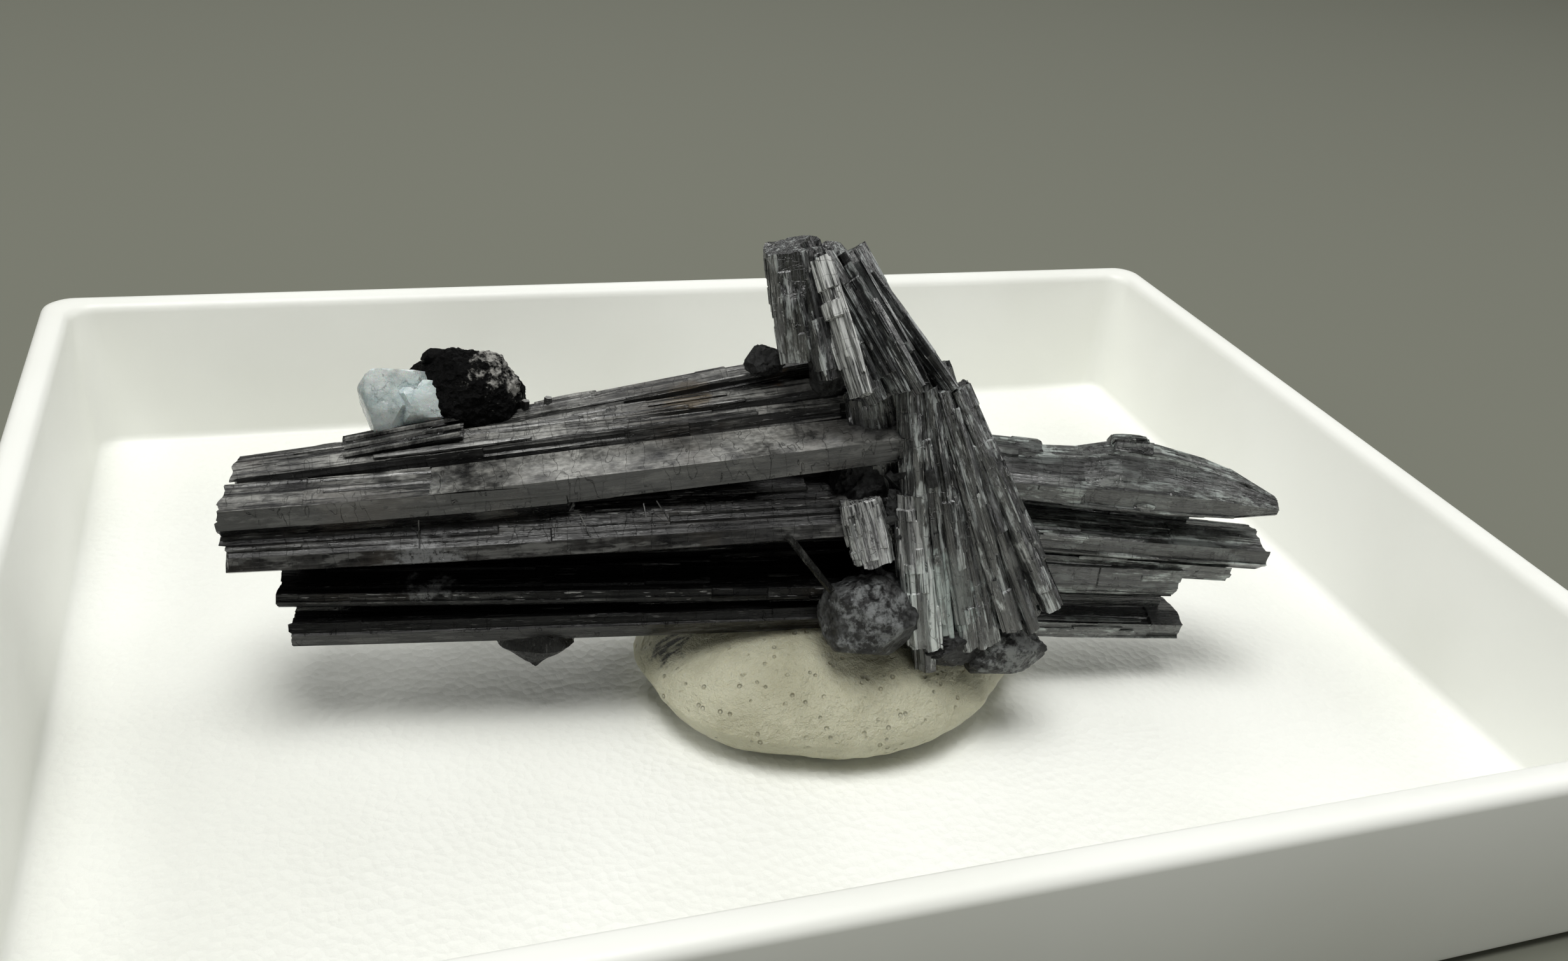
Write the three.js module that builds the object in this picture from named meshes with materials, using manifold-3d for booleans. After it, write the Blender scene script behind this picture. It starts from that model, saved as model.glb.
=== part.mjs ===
// Schorl specimen: a sheaf of black tourmaline crystals crossed by one steep crystal, pressed
// into a pad of mineral tack on the floor of a small open plastic box.
// Millimetres, +Z up. The origin is the middle of the box's underside, X along its long side.

import * as THREE from 'three';
import { mergeVertices } from 'three/addons/utils/BufferGeometryUtils.js';
import Module from 'manifold-3d';

const wasm = await Module();
wasm.setup();

// ---- driving dimensions ----
const BOX = {
  floorLong: 60,
  floorShort: 44.5,
  floorThick: 1.25,
  height: 9,
  wall: 1.4,
  draft: 0.36,
  cornerRadius: 1.2,
  edgeRadius: 0.5,
  cornerSteps: 6,
};
const TACK = { centre: [1.6, -4.3], long: 17.4, short: 12.2, top: 5.9, facets: 6 };
const SHEAF_PLACE = { x: 0, y: -4, turnDegrees: -8 };
const CONTACT_GAP = 0.3;

// The crystals, in the sheaf's own frame: X along the sheaf, Y to the back, Z up from the
// underside of the box. A crystal runs from `a` to `b`. Its section is either `corners`, in
// millimetres to the back and up from the line a-b, or a fluted outline `wide` across the
// `side` direction and `thick` across that.
const LEFT_BARS = [
  {
    seed: 1, a: [-20.5, 0, 6.6], b: [3.2, 0, 6.9], snap: 0.3,
    corners: [[-2.3, 0], [-2.45, -0.45], [-2.0, -1.3], [0.6, -1.5], [1.0, -0.4], [-1.7, 0.15]],
  },
  {
    seed: 2, a: [-20.9, 0, 7.9], b: [3.0, 0, 7.8], snap: 0.3,
    corners: [[-2.2, 0], [-2.35, -0.5], [-1.8, -0.95], [1.2, -1.0], [1.6, -0.2], [-0.6, 0.2]],
  },
  {
    seed: 3, a: [-19.4, 0, 8.6], b: [2.8, 0, 9.2], snap: 0.5,
    corners: [[-0.5, 0.6], [-0.7, -0.2], [-0.3, -0.9], [1.9, -0.8], [2.0, 0.8]],
  },
  {
    seed: 4, a: [-22.8, 0, 9.15], b: [1.4, 0, 10.5], snap: 0.4,
    corners: [[-2.6, 0], [-1.9, -0.5], [0.6, -0.8], [1.5, 0.3], [0.6, 1.4], [-1.2, 1.2], [-2.4, 0.5]],
  },
  {
    seed: 5, a: [-22.8, 0, 11.35], b: [-9.8, 0, 12.5], snap: 0.4,
    corners: [[-1.8, 0], [-1.75, -0.9], [-1.3, -1.6], [0.4, -1.7], [1.3, -0.5], [0.3, 0.05], [-0.9, 0.1]],
  },
  {
    seed: 6, a: [-15.2, 0, 12.05], b: [3.3, 0, 14.55], snap: 0.2,
    corners: [[-1.85, 0], [-1.6, -1.25], [-0.7, -1.6], [0.9, -1.4], [1.4, -0.5], [0.3, 0.05]],
  },
  {
    seed: 7, a: [-22.8, 0, 11.4], b: [2.9, 0, 15.2], snap: 0.5,
    corners: [[0.35, 0], [0.3, -1.2], [1.2, -1.8], [2.6, -1.5], [3.0, -0.4], [2.2, 0.2], [1.2, 0.3]],
  },
  {
    seed: 8, a: [-22.3, 0, 11.2], b: [-2.0, 0, 14.4], snap: 0.5,
    corners: [[1.1, 0], [1.0, -1.4], [2.6, -1.9], [3.7, -1.1], [3.4, -0.1], [2.4, 0.15]],
  },
  {
    seed: 9, a: [-12.6, 0, 13.0], b: [0.5, 0, 15.95], snap: 0.2,
    corners: [[2.15, 0], [2.25, -0.9], [3.5, -1.2], [4.1, -0.5], [3.6, 0.02]],
  },
  {
    seed: 10, a: [-8.3, 0, 13.75], b: [2.2, 0, 15.5], snap: 0.15,
    corners: [[0.95, 0], [0.9, -0.8], [2.6, -0.9], [2.9, -0.1], [2.0, 0.2]],
  },
  { seed: 11, a: [-20.6, 2.2, 8.6], b: [2.6, 2.4, 11.4], wide: 3.2, thick: 3.4, sides: 12, snap: 0.6 },
  { seed: 12, a: [-19.0, 1.8, 6.8], b: [3.4, 2.0, 8.2], wide: 2.8, thick: 2.4, snap: 0.5 },
  {
    seed: 13, a: [-18.7, 0, 12.1], b: [-14.0, 0, 13.1], snap: 0.1,
    corners: [[0.9, 0], [0.9, -0.7], [2.6, -0.8], [2.6, 0.1], [1.5, 0.2]],
  },
  {
    seed: 14, a: [-12.4, 0, 12.9], b: [-7.6, 0, 13.9], snap: 0.3,
    corners: [[1.4, 0], [1.4, -0.8], [3.2, -0.9], [3.3, 0.1], [2.2, 0.15]],
  },
];

const RIGHT_BARS = [
  {
    seed: 21, a: [2.0, 0.4, 12.0], b: [21.4, 0.4, 9.9], snap: 0,
    corners: [[-1.3, 0.1], [-1.2, -0.9], [-0.3, -1.5], [1.5, -1.2], [2.2, 0.3], [1.2, 1.35], [-0.2, 1.1]],
    stations: [
      [0, 0.75, 0.2], [0.356, 0.82, 0.4], [0.44, 0.8, 0.3], [0.58, 1, 0.62], [0.68, 1, 0.58],
      [0.825, 0.82, 0.42], [0.94, 0.6, 0.1], [1, 0.3, -0.05],
    ],
  },
  {
    seed: 22, a: [3.0, 0, 10.1], b: [20.9, 0, 8.3], snap: 0.5,
    corners: [[-0.9, 0], [-1.0, -0.7], [-0.4, -1.3], [1.6, -1.2], [1.8, 0.0], [0.4, 0.35]],
  },
  {
    seed: 23, a: [3.0, 0, 8.9], b: [19.4, 0, 7.35], snap: 0.4,
    corners: [[-0.7, 0], [-0.6, -0.8], [0.3, -1.1], [1.6, -0.9], [1.7, 0.0]],
  },
  {
    seed: 24, a: [3.0, 0, 8.3], b: [16.9, 0, 7.4], snap: 0.2,
    corners: [[-0.9, 0], [-1.1, -0.9], [-0.6, -1.7], [1.4, -1.6], [1.6, 0.0], [0.2, 0.3]],
  },
  {
    seed: 25, a: [4.0, 0, 6.2], b: [17.0, 0, 5.6], snap: 0.2,
    corners: [[0.2, 0.2], [0.2, -1.4], [1.4, -1.5], [1.5, 0.4]],
  },
  {
    seed: 26, a: [4.0, 0, 5.2], b: [17.7, 0, 4.4], snap: 0.15,
    corners: [[-0.9, 0], [-0.8, -0.8], [0.3, -1.1], [1.5, -0.9], [1.5, 0.1], [0.0, 0.25]],
  },
  { seed: 27, a: [13.1, 1.4, 12.3], b: [14.9, 1.3, 12.2], wide: 1.5, thick: 1.4, snap: 0.3 },
  { seed: 28, a: [4.0, 2.2, 10.6], b: [17.6, 1.8, 9.2], wide: 2.0, thick: 2.2, snap: 0.5 },
  { seed: 29, a: [4.6, 1.3, 12.7], b: [10.0, 1.2, 12.2], wide: 1.6, thick: 1.1, snap: 0.5 },
];

// Blades standing side by side across the steep crystal. They fan from `topSpan` to
// `bottomSpan`, and each stands a little proud of the next or ends a little short of it.
const BLADE_ROWS = [
  {
    seed: 60, count: 5, top: [0.1, 2.0, 20.4], bottom: [3.2, -1.0, 15.8],
    topSpan: 2.7, bottomSpan: 2.9, wide: 1.1, thick: 2.7, topTilt: -1.5, bottomTilt: 0,
  },
  {
    seed: 70, count: 7, top: [3.9, -0.8, 16.3], bottom: [7.0, -3.8, 6.3],
    topSpan: 1.9, bottomSpan: 5.0, wide: 1.25, thick: 2.4, topTilt: -0.4, bottomTilt: 2.4,
  },
];
const CROSSING_BLADES = [
  { seed: 31, a: [-1.7, 1.6, 21.1], b: [-0.9, 0.9, 16.8], wide: 2.5, thick: 2.4, square: 4, snap: 0.25 },
  { seed: 32, a: [-0.7, 0.8, 20.8], b: [0.8, -2.2, 16.5], wide: 1.15, thick: 1.6, square: 4, snap: 0.15 },
  { seed: 33, a: [0.2, 2.6, 20.2], b: [3.4, 0.2, 15.0], wide: 3.4, thick: 2.2, snap: 0.3 },
  { seed: 34, a: [3.4, 0.4, 16.4], b: [7.0, -2.8, 6.0], wide: 3.6, thick: 2.6, sides: 12, snap: 0.5 },
  { seed: 35, a: [3.4, -1.9, 12.2], b: [4.3, -4.0, 6.1], wide: 1.8, thick: 2.0, square: 4, snap: 0.3 },
  { seed: 36, a: [1.3, -1.9, 11.9], b: [2.0, -3.1, 9.5], wide: 1.9, thick: 1.7, square: 4, snap: 0.3 },
  { seed: 38, a: [4.6, -0.4, 16.0], b: [8.9, -3.0, 7.8], wide: 2.2, thick: 2.4, snap: 0.4 },
  { seed: 37, a: [1.7, 0.4, 15.6], b: [3.4, -1.0, 9.0], wide: 2.6, thick: 2.2, snap: 0.4 },
];

// Rounded and broken masses grown on the sheaf: middle, half-sizes, roughness.
const KNOB = { seed: 41, at: [2.0, -3.4, 7.2], half: [2.05, 1.9, 1.75], rough: 0.05, detail: 3 };
const MASSES = [
  KNOB,
  { seed: 42, at: [-11.2, -1.2, 4.9], half: [1.6, 1.1, 1.5], rough: 0.1, detail: 0 },
  { seed: 43, at: [7.7, -3.6, 5.5], half: [2.1, 1.2, 1.2], rough: 0.12, detail: 2 },
  { seed: 44, at: [-2.2, 2.2, 15.9], half: [0.85, 0.7, 0.65], rough: 0.12, detail: 1 },
  { seed: 45, at: [2.2, 0.0, 11.0], half: [1.9, 1.5, 2.6], rough: 0.12, detail: 2 },
  { seed: 46, at: [-0.1, 1.8, 20.2], half: [1.3, 0.8, 1.0], rough: 0.12, detail: 1 },
];
const PALE_CRYSTAL = { seed: 51, at: [-16.4, 3.2, 13.4], half: [1.9, 1.3, 2.25], rough: 0.12, detail: 2 };
const GRANULAR_LUMP = { seed: 52, at: [-14.0, 3.7, 13.35], half: [2.3, 1.75, 2.1], rough: 0.08, detail: 4 };

const CRYSTAL_DEFAULTS = {
  sides: 10,
  square: 3,
  rib: 0.07,
  snap: 0.3,
  side: [0, 1, 0],
  stations: [[0, 0.95, 0], [0.3, 1, 0], [0.68, 1.02, 0], [1, 0.96, 0]],
};

// ---- helpers ----

// A repeatable scatter between -1 and 1.
function scatter(seed, i) {
  const s = Math.sin(seed * 12.9898 + i * 78.233) * 43758.5453;
  return 2 * (s - Math.floor(s)) - 1;
}

function geometryFrom(points, triangles) {
  const geometry = new THREE.BufferGeometry();
  geometry.setAttribute('position', new THREE.Float32BufferAttribute(points.flat(), 3));
  geometry.setIndex(triangles.flat());
  return geometry;
}

function toManifold(geometry) {
  const bare = geometry.clone();
  bare.deleteAttribute('normal');
  bare.deleteAttribute('uv');
  const merged = mergeVertices(bare, 1e-5);
  const mesh = new wasm.Mesh({
    numProp: 3,
    vertProperties: new Float32Array(merged.attributes.position.array),
    triVerts: new Uint32Array(merged.index.array),
  });
  return new wasm.Manifold(mesh);
}

function toGeometry(manifold) {
  const mesh = manifold.getMesh();
  const geometry = new THREE.BufferGeometry();
  geometry.setAttribute('position', new THREE.BufferAttribute(mesh.vertProperties, 3));
  geometry.setIndex(new THREE.BufferAttribute(mesh.triVerts, 1));
  return geometry;
}

// Joins rings of equal length into a closed skin, with a flat or domed cap at each end.
function skinRings(rings, firstTip, lastTip) {
  const n = rings[0].length;
  const points = rings.flat();
  const triangles = [];
  for (let r = 0; r < rings.length - 1; r += 1) {
    for (let k = 0; k < n; k += 1) {
      const next = (k + 1) % n;
      const [p, q] = [r * n + k, r * n + next];
      triangles.push([p, q, q + n], [p, q + n, p + n]);
    }
  }
  const first = points.push(firstTip) - 1;
  const last = points.push(lastTip) - 1;
  const top = (rings.length - 1) * n;
  for (let k = 0; k < n; k += 1) {
    const next = (k + 1) % n;
    triangles.push([first, next, k], [last, top + k, top + next]);
  }
  return geometryFrom(points, triangles);
}

// A crystal's cross-section in millimetres: its own corners, or a fluted outline with every
// second corner drawn in. A positive `grow` makes it larger all round.
function crossSection({ seed, sides, square, rib, wide, thick, corners, grow }) {
  let outline = corners;
  if (!outline) {
    outline = Array.from({ length: sides }, (_, k) => {
      const turn = (2 * Math.PI * (k + 0.5 + 0.22 * scatter(seed, k))) / sides;
      const x = Math.cos(turn);
      const y = Math.sin(turn);
      const corner = (Math.abs(x) ** square + Math.abs(y) ** square) ** (-1 / square);
      const reach = corner * (1 - rib * (k % 2) - 0.04 * (1 + scatter(seed, k + 40)));
      return [(reach * x * wide) / 2, (reach * y * thick) / 2];
    });
  }
  const middle = middleOf(outline);
  return outline.map(([x, y]) => {
    const away = Math.hypot(x - middle[0], y - middle[1]);
    const stretch = 1 + grow / away;
    return [middle[0] + (x - middle[0]) * stretch, middle[1] + (y - middle[1]) * stretch];
  });
}

function middleOf(outline) {
  const sum = outline.reduce(([p, q], [x, y]) => [p + x, q + y], [0, 0]);
  return sum.map((value) => value / outline.length);
}

// One crystal: a fluted prism between two uneven broken ends. Each station is a place along
// it, the section's scale there and how far the section is raised.
function crystal(spec) {
  const c = { ...CRYSTAL_DEFAULTS, grow: 0, ...spec };
  const a = new THREE.Vector3(...c.a);
  const b = new THREE.Vector3(...c.b);
  const along = b.clone().sub(a).normalize();
  const lift = along.clone().cross(new THREE.Vector3(...c.side)).normalize();
  const across = lift.clone().cross(along).normalize();
  const outline = crossSection(c);
  const middle = middleOf(outline);
  const length = a.distanceTo(b);
  const at = (t, x, y, further) => a.clone()
    .addScaledVector(along, t * length + further)
    .addScaledVector(across, x)
    .addScaledVector(lift, y)
    .toArray();
  const last = c.stations.length - 1;
  const rings = c.stations.map(([t, scale, raise], s) => outline.map(([x, y], k) => {
    const broken = s === 0 || s === last ? c.snap * scatter(c.seed, 80 + k + 30 * s) : 0;
    const u = middle[0] + (x - middle[0]) * scale;
    const v = middle[1] + (y - middle[1]) * scale + raise;
    return at(t, u, v, broken);
  }));
  const firstTip = at(0, middle[0], middle[1] + c.stations[0][2], -c.grow);
  const lastTip = at(1, middle[0], middle[1] + c.stations[last][2], c.grow);
  return skinRings(rings, firstTip, lastTip);
}

// The blades of a row, as crystals of their own.
function bladesOf(row) {
  const { seed, count, top, bottom, wide, thick } = row;
  return Array.from({ length: count }, (_, i) => {
    const place = i / (count - 1) - 0.5;
    const proud = 0.22 * scatter(seed, i);
    const early = 0.25 * scatter(seed, i + 20);
    const late = 0.3 * scatter(seed, i + 40);
    return {
      seed: seed + i,
      a: [
        top[0] + place * row.topSpan,
        top[1] - 0.83 * proud,
        top[2] + place * row.topTilt + 0.3 * proud + early,
      ],
      b: [
        bottom[0] + place * row.bottomSpan,
        bottom[1] - 0.83 * proud,
        bottom[2] + place * row.bottomTilt + 0.3 * proud + late,
      ],
      wide: wide * (1 + 0.2 * scatter(seed, i + 60)),
      thick,
      square: 4,
      snap: 0.25,
    };
  });
}

// A rounded or angular mass: a ball pushed in and out, point by point.
function mass({ seed, at, half, rough, detail, grow = 0 }) {
  const ball = new THREE.IcosahedronGeometry(1, detail);
  ball.deleteAttribute('normal');
  ball.deleteAttribute('uv');
  const geometry = mergeVertices(ball, 1e-4);
  const position = geometry.attributes.position;
  for (let i = 0; i < position.count; i += 1) {
    const push = 1 + rough * scatter(seed, i);
    const [x, y, z] = [position.getX(i), position.getY(i), position.getZ(i)];
    position.setXYZ(
      i,
      at[0] + x * push * (half[0] + grow),
      at[1] + y * push * (half[1] + grow),
      at[2] + z * push * (half[2] + grow),
    );
  }
  return geometry;
}

function unite(geometries) {
  return geometries.map(toManifold).reduce((whole, piece) => whole.add(piece));
}

// ---- the box ----

// Corners of a rounded rectangle, anticlockwise.
function roundedRectangle(long, short, radius, z) {
  const ring = [];
  for (let corner = 0; corner < 4; corner += 1) {
    const signX = corner === 0 || corner === 3 ? 1 : -1;
    const signY = corner < 2 ? 1 : -1;
    for (let step = 0; step <= BOX.cornerSteps; step += 1) {
      const turn = (Math.PI / 2) * (corner + step / BOX.cornerSteps);
      ring.push([
        signX * (long / 2 - radius) + radius * Math.cos(turn),
        signY * (short / 2 - radius) + radius * Math.sin(turn),
        z,
      ]);
    }
  }
  return ring;
}

function boxBase() {
  const { floorLong, floorShort, floorThick, height, wall, draft, cornerRadius, edgeRadius } = BOX;
  const outerFoot = [floorLong + 2 * wall, floorShort + 2 * wall];
  const outerRim = outerFoot.map((size) => size + 2 * draft);
  const innerRim = [floorLong + 2 * draft, floorShort + 2 * draft];
  const ring = (size, inset, z) => roundedRectangle(
    size[0] - 2 * inset,
    size[1] - 2 * inset,
    Math.max(cornerRadius - inset, 0.4),
    z,
  );
  const soft = edgeRadius * 0.3;
  const rings = [
    ring(outerFoot, edgeRadius, 0),
    ring(outerFoot, soft, soft),
    ring(outerFoot, 0, edgeRadius),
    ring(outerRim, 0, height - edgeRadius),
    ring(outerRim, soft, height - soft),
    ring(outerRim, edgeRadius, height),
    ring(innerRim, -soft, height - soft),
    ring(innerRim, 0, height - edgeRadius),
    ring([floorLong, floorShort], 0, floorThick + edgeRadius),
    ring([floorLong, floorShort], soft, floorThick + soft),
    ring([floorLong, floorShort], edgeRadius, floorThick),
  ];
  return skinRings(rings, [0, 0, 0], [0, 0, floorThick]);
}

// ---- the tack ----

// A thumb-pressed pad, flat where it sticks to the floor, with its top cut to the seats of
// the crystals that are pressed into it.
function tackPad(seats) {
  const ball = new THREE.IcosahedronGeometry(1, TACK.facets);
  ball.deleteAttribute('normal');
  ball.deleteAttribute('uv');
  const pad = mergeVertices(ball, 1e-4);
  const position = pad.attributes.position;
  const rise = TACK.top - BOX.floorThick;
  for (let i = 0; i < position.count; i += 1) {
    const [x, y, z] = [position.getX(i), position.getY(i), position.getZ(i)];
    const lump = 1 + 0.035 * Math.sin(3 * Math.atan2(y, x) + 0.6) + 0.02 * Math.cos(5 * Math.atan2(y, x));
    const fullness = z > 0 ? 1 - 0.08 * z : 1 + 0.1 * z;
    position.setXYZ(
      i,
      TACK.centre[0] + x * lump * fullness * (TACK.long / 2),
      TACK.centre[1] + y * lump * fullness * (TACK.short / 2),
      Math.max(BOX.floorThick, BOX.floorThick + rise * (0.36 + 0.64 * z)),
    );
  }
  return toGeometry(largestBody(toManifold(flattenFoot(pad)).subtract(unite(seats))));
}

// Draws every point that lies on the floor to one flat foot, dropping the faces that fold up.
function flattenFoot(geometry) {
  const position = geometry.attributes.position;
  const floor = (i) => position.getZ(i) <= BOX.floorThick + 1e-6;
  const index = geometry.index.array;
  const triangles = [];
  const points = [];
  for (let i = 0; i < position.count; i += 1) {
    points.push([position.getX(i), position.getY(i), position.getZ(i)]);
  }
  for (let t = 0; t < index.length; t += 3) {
    const corners = [index[t], index[t + 1], index[t + 2]];
    if (!corners.every(floor)) {
      triangles.push(corners);
    }
  }
  const rim = new Map();
  for (const [p, q, r] of triangles) {
    for (const [from, to] of [[p, q], [q, r], [r, p]]) {
      if (rim.has(`${to} ${from}`)) {
        rim.delete(`${to} ${from}`);
      } else {
        rim.set(`${from} ${to}`, [from, to]);
      }
    }
  }
  const middle = points.push([TACK.centre[0], TACK.centre[1], BOX.floorThick]) - 1;
  for (const [from, to] of rim.values()) {
    triangles.push([to, from, middle]);
  }
  return geometryFrom(points, triangles);
}

// ---- the assembly ----

const sheafFrame = new THREE.Matrix4()
  .makeRotationZ(THREE.MathUtils.degToRad(SHEAF_PLACE.turnDegrees))
  .setPosition(SHEAF_PLACE.x, SHEAF_PLACE.y, 0);
const placed = (geometry) => geometry.clone().applyMatrix4(sheafFrame);

const steepBlades = [...CROSSING_BLADES, ...BLADE_ROWS.flatMap(bladesOf)]
  .map((blade) => ({ side: [1, 0, 0], ...blade }));
const allCrystals = [...LEFT_BARS, ...RIGHT_BARS, ...steepBlades];
const cluster = unite([...allCrystals.map(crystal), ...MASSES.map(mass)]);

// Copies of the crystals a little larger all round, which leave the contact gap when cut away.
const grown = (spec) => ({ ...spec, grow: CONTACT_GAP });
const lowCrystals = allCrystals.filter(({ a, b }) => Math.min(a[2], b[2]) < 8);
const tackSeats = [
  ...lowCrystals.map((spec) => placed(crystal(grown(spec)))),
  ...MASSES.map((spec) => placed(mass(grown(spec)))),
];
const topSeats = unite([...LEFT_BARS.map((spec) => crystal(grown(spec)))]);

const lump = toManifold(mass(GRANULAR_LUMP)).subtract(topSeats);
const pale = toManifold(mass(PALE_CRYSTAL))
  .subtract(topSeats)
  .subtract(toManifold(mass(grown(GRANULAR_LUMP))));

function piece(name, geometry, color, roughness, opacity = 1) {
  geometry.computeVertexNormals();
  const material = new THREE.MeshStandardMaterial({
    color,
    roughness,
    opacity,
    metalness: 0,
    transparent: opacity < 1,
    flatShading: true,
  });
  const mesh = new THREE.Mesh(geometry, material);
  mesh.name = name;
  return mesh;
}

// Where a cut leaves several bodies, the largest is the piece.
function largestBody(manifold) {
  return manifold.decompose().reduce((best, body) => (body.volume() > best.volume() ? body : best));
}

const specimen = new THREE.Group();
specimen.add(piece('box_base', boxBase(), 0xf2f2ee, 0.55));
specimen.add(piece('mineral_tack', tackPad(tackSeats), 0xd9d8c4, 0.6));

const sheaf = new THREE.Group();
sheaf.position.set(SHEAF_PLACE.x, SHEAF_PLACE.y, 0);
sheaf.rotation.z = THREE.MathUtils.degToRad(SHEAF_PLACE.turnDegrees);
sheaf.add(piece('schorl_cluster', toGeometry(cluster), 0x17181a, 0.35));
sheaf.add(piece('pale_crystal', toGeometry(largestBody(pale)), 0xb9d3d4, 0.2, 0.8));
sheaf.add(piece('granular_lump', toGeometry(largestBody(lump)), 0x1c1c1d, 0.7));
specimen.add(sheaf);

export default specimen;
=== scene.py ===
"""Schorl specimen: black tourmaline sheaf pressed into putty in an open white box."""

import math
import random

import bpy
import numpy as np
from mathutils import Matrix, Vector, noise


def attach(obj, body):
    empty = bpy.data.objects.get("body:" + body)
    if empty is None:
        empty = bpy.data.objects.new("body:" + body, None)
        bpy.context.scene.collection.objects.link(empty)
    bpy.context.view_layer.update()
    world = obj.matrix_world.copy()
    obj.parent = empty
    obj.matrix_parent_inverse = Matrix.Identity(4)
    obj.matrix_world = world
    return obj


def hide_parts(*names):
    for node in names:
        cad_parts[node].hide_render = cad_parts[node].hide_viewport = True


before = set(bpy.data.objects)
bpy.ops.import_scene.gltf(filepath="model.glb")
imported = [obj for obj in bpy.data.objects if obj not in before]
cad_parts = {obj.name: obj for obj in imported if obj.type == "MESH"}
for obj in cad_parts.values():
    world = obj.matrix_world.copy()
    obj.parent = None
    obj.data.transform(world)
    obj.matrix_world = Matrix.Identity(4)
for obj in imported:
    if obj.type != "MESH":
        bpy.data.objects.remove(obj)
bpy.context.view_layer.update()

MM = 0.001
SHEAF_TURN = math.radians(-8)
SHEAF_AT = Vector((0.0, -4.0, 0.0))
FLOOR_TOP = 1.25

# -------- crystals
# In the sheaf's own frame, millimetres: X along the sheaf, Y to the back, Z up. A crystal runs
# from a to b. Its section is either corners, to the back and up from the line a-b, or a fluted
# outline, wide across the side direction and thick across that, with so many sides and square
# or rounder by its power. smooth lists the flat facets and bare the facets painted black
# for the shade that falls on them, each by the corner it starts from. snap is the depth of the
# torn ends, highlight how far it is painted pale for a highlight, and a station is a place along
# it, the section's scale there and how far it is raised.
ALL_ROUND = tuple(range(12))
ALONG_SHEAF = (1, 0, 0)
DEFAULTS = dict(sides=10, square=3, rib=0.07, snap=0.3, side=(0, 1, 0), smooth=(), bare=(), worn=0.0,
                stations=[(0, 0.95, 0), (0.3, 1, 0), (0.68, 1.02, 0), (1, 0.96, 0)])


def bar(seed, a, b, **more):
    """A crystal from a to b, with the defaults for what isn't said."""
    return {**DEFAULTS, "seed": seed, "a": a, "b": b, **more}


UPPER_LEFT_BARS = [
    bar(5, (-22.8, 0, 11.35), (-9.8, 0, 12.5), snap=0.4, smooth=(0, 1), bare=(2, 3),
        corners=[(-1.8, 0), (-1.75, -0.9), (-1.3, -1.6), (0.4, -1.7), (1.3, -0.5),
                 (0.3, 0.05), (-0.9, 0.1)]),
    bar(6, (-15.2, 0, 12.05), (3.3, 0, 14.55), snap=0.2, smooth=(0, 5), bare=(2, 3),
        corners=[(-1.85, 0), (-1.6, -1.25), (-0.7, -1.6), (0.9, -1.4), (1.4, -0.5), (0.3, 0.05)]),
    bar(7, (-22.8, 0, 11.4), (2.9, 0, 15.2), snap=0.5,
        corners=[(0.35, 0), (0.3, -1.2), (1.2, -1.8), (2.6, -1.5), (3.0, -0.4), (2.2, 0.2), (1.2, 0.3)]),
    bar(8, (-22.3, 0, 11.2), (-2.0, 0, 14.4), snap=0.5,
        corners=[(1.1, 0), (1.0, -1.4), (2.6, -1.9), (3.7, -1.1), (3.4, -0.1), (2.4, 0.15)]),
    bar(9, (-12.6, 0, 13.0), (0.5, 0, 15.95), snap=0.2, bare=(0, 1),
        corners=[(2.15, 0), (2.25, -0.9), (3.5, -1.2), (4.1, -0.5), (3.6, 0.02)]),
    bar(10, (-8.3, 0, 13.75), (2.2, 0, 15.5), snap=0.15, bare=(0, 1),
        corners=[(0.95, 0), (0.9, -0.8), (2.6, -0.9), (2.9, -0.1), (2.0, 0.2)]),
    bar(13, (-18.7, 0, 12.1), (-14.0, 0, 13.1), snap=0.1, bare=ALL_ROUND,
        corners=[(0.9, 0), (0.9, -0.7), (2.6, -0.8), (2.6, 0.1), (1.5, 0.2)]),
    bar(14, (-12.4, 0, 12.9), (-7.6, 0, 13.9), snap=0.3,
        corners=[(1.4, 0), (1.4, -0.8), (3.2, -0.9), (3.3, 0.1), (2.2, 0.15)]),
]
MIDDLE_LEFT_BARS = [
    bar(4, (-22.8, 0, 9.15), (1.4, 0, 10.5), snap=0.4, smooth=(0, 6), bare=(1, 2, 3),
        corners=[(-2.6, 0), (-1.9, -0.5), (0.6, -0.8), (1.5, 0.3), (0.6, 1.4),
                 (-1.2, 1.2), (-2.4, 0.5)]),
]
LOWER_LEFT_BARS = [
    bar(1, (-20.5, 0, 6.6), (3.2, 0, 6.9), snap=0.3, smooth=(1, 2), bare=(0, 3, 4, 5),
        corners=[(-2.3, 0), (-2.45, -0.45), (-2.0, -1.3), (0.6, -1.5), (1.0, -0.4), (-1.7, 0.15)]),
    bar(2, (-20.9, 0, 7.9), (3.0, 0, 7.8), snap=0.3, bare=(1, 2, 3, 4, 5),
        corners=[(-2.2, 0), (-2.35, -0.5), (-1.8, -0.95), (1.2, -1.0), (1.6, -0.2), (-0.6, 0.2)]),
    bar(3, (-19.4, 0, 8.6), (2.8, 0, 9.2), snap=0.5, bare=ALL_ROUND,
        corners=[(-0.5, 0.6), (-0.7, -0.2), (-0.3, -0.9), (1.9, -0.8), (2.0, 0.8)]),
    bar(11, (-20.6, 2.2, 8.6), (2.6, 2.4, 11.4), wide=3.2, thick=3.4, sides=12, snap=0.6,
        bare=ALL_ROUND),
    bar(12, (-19.0, 1.8, 6.8), (3.4, 2.0, 8.2), wide=2.8, thick=2.4, snap=0.5, bare=ALL_ROUND),
]
POINTED_STATIONS = [
    (0, 0.75, 0.2), (0.356, 0.82, 0.4), (0.44, 0.8, 0.3), (0.58, 1, 0.62), (0.68, 1, 0.58),
    (0.825, 0.82, 0.42), (0.94, 0.6, 0.1), (1, 0.3, -0.05),
]
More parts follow.
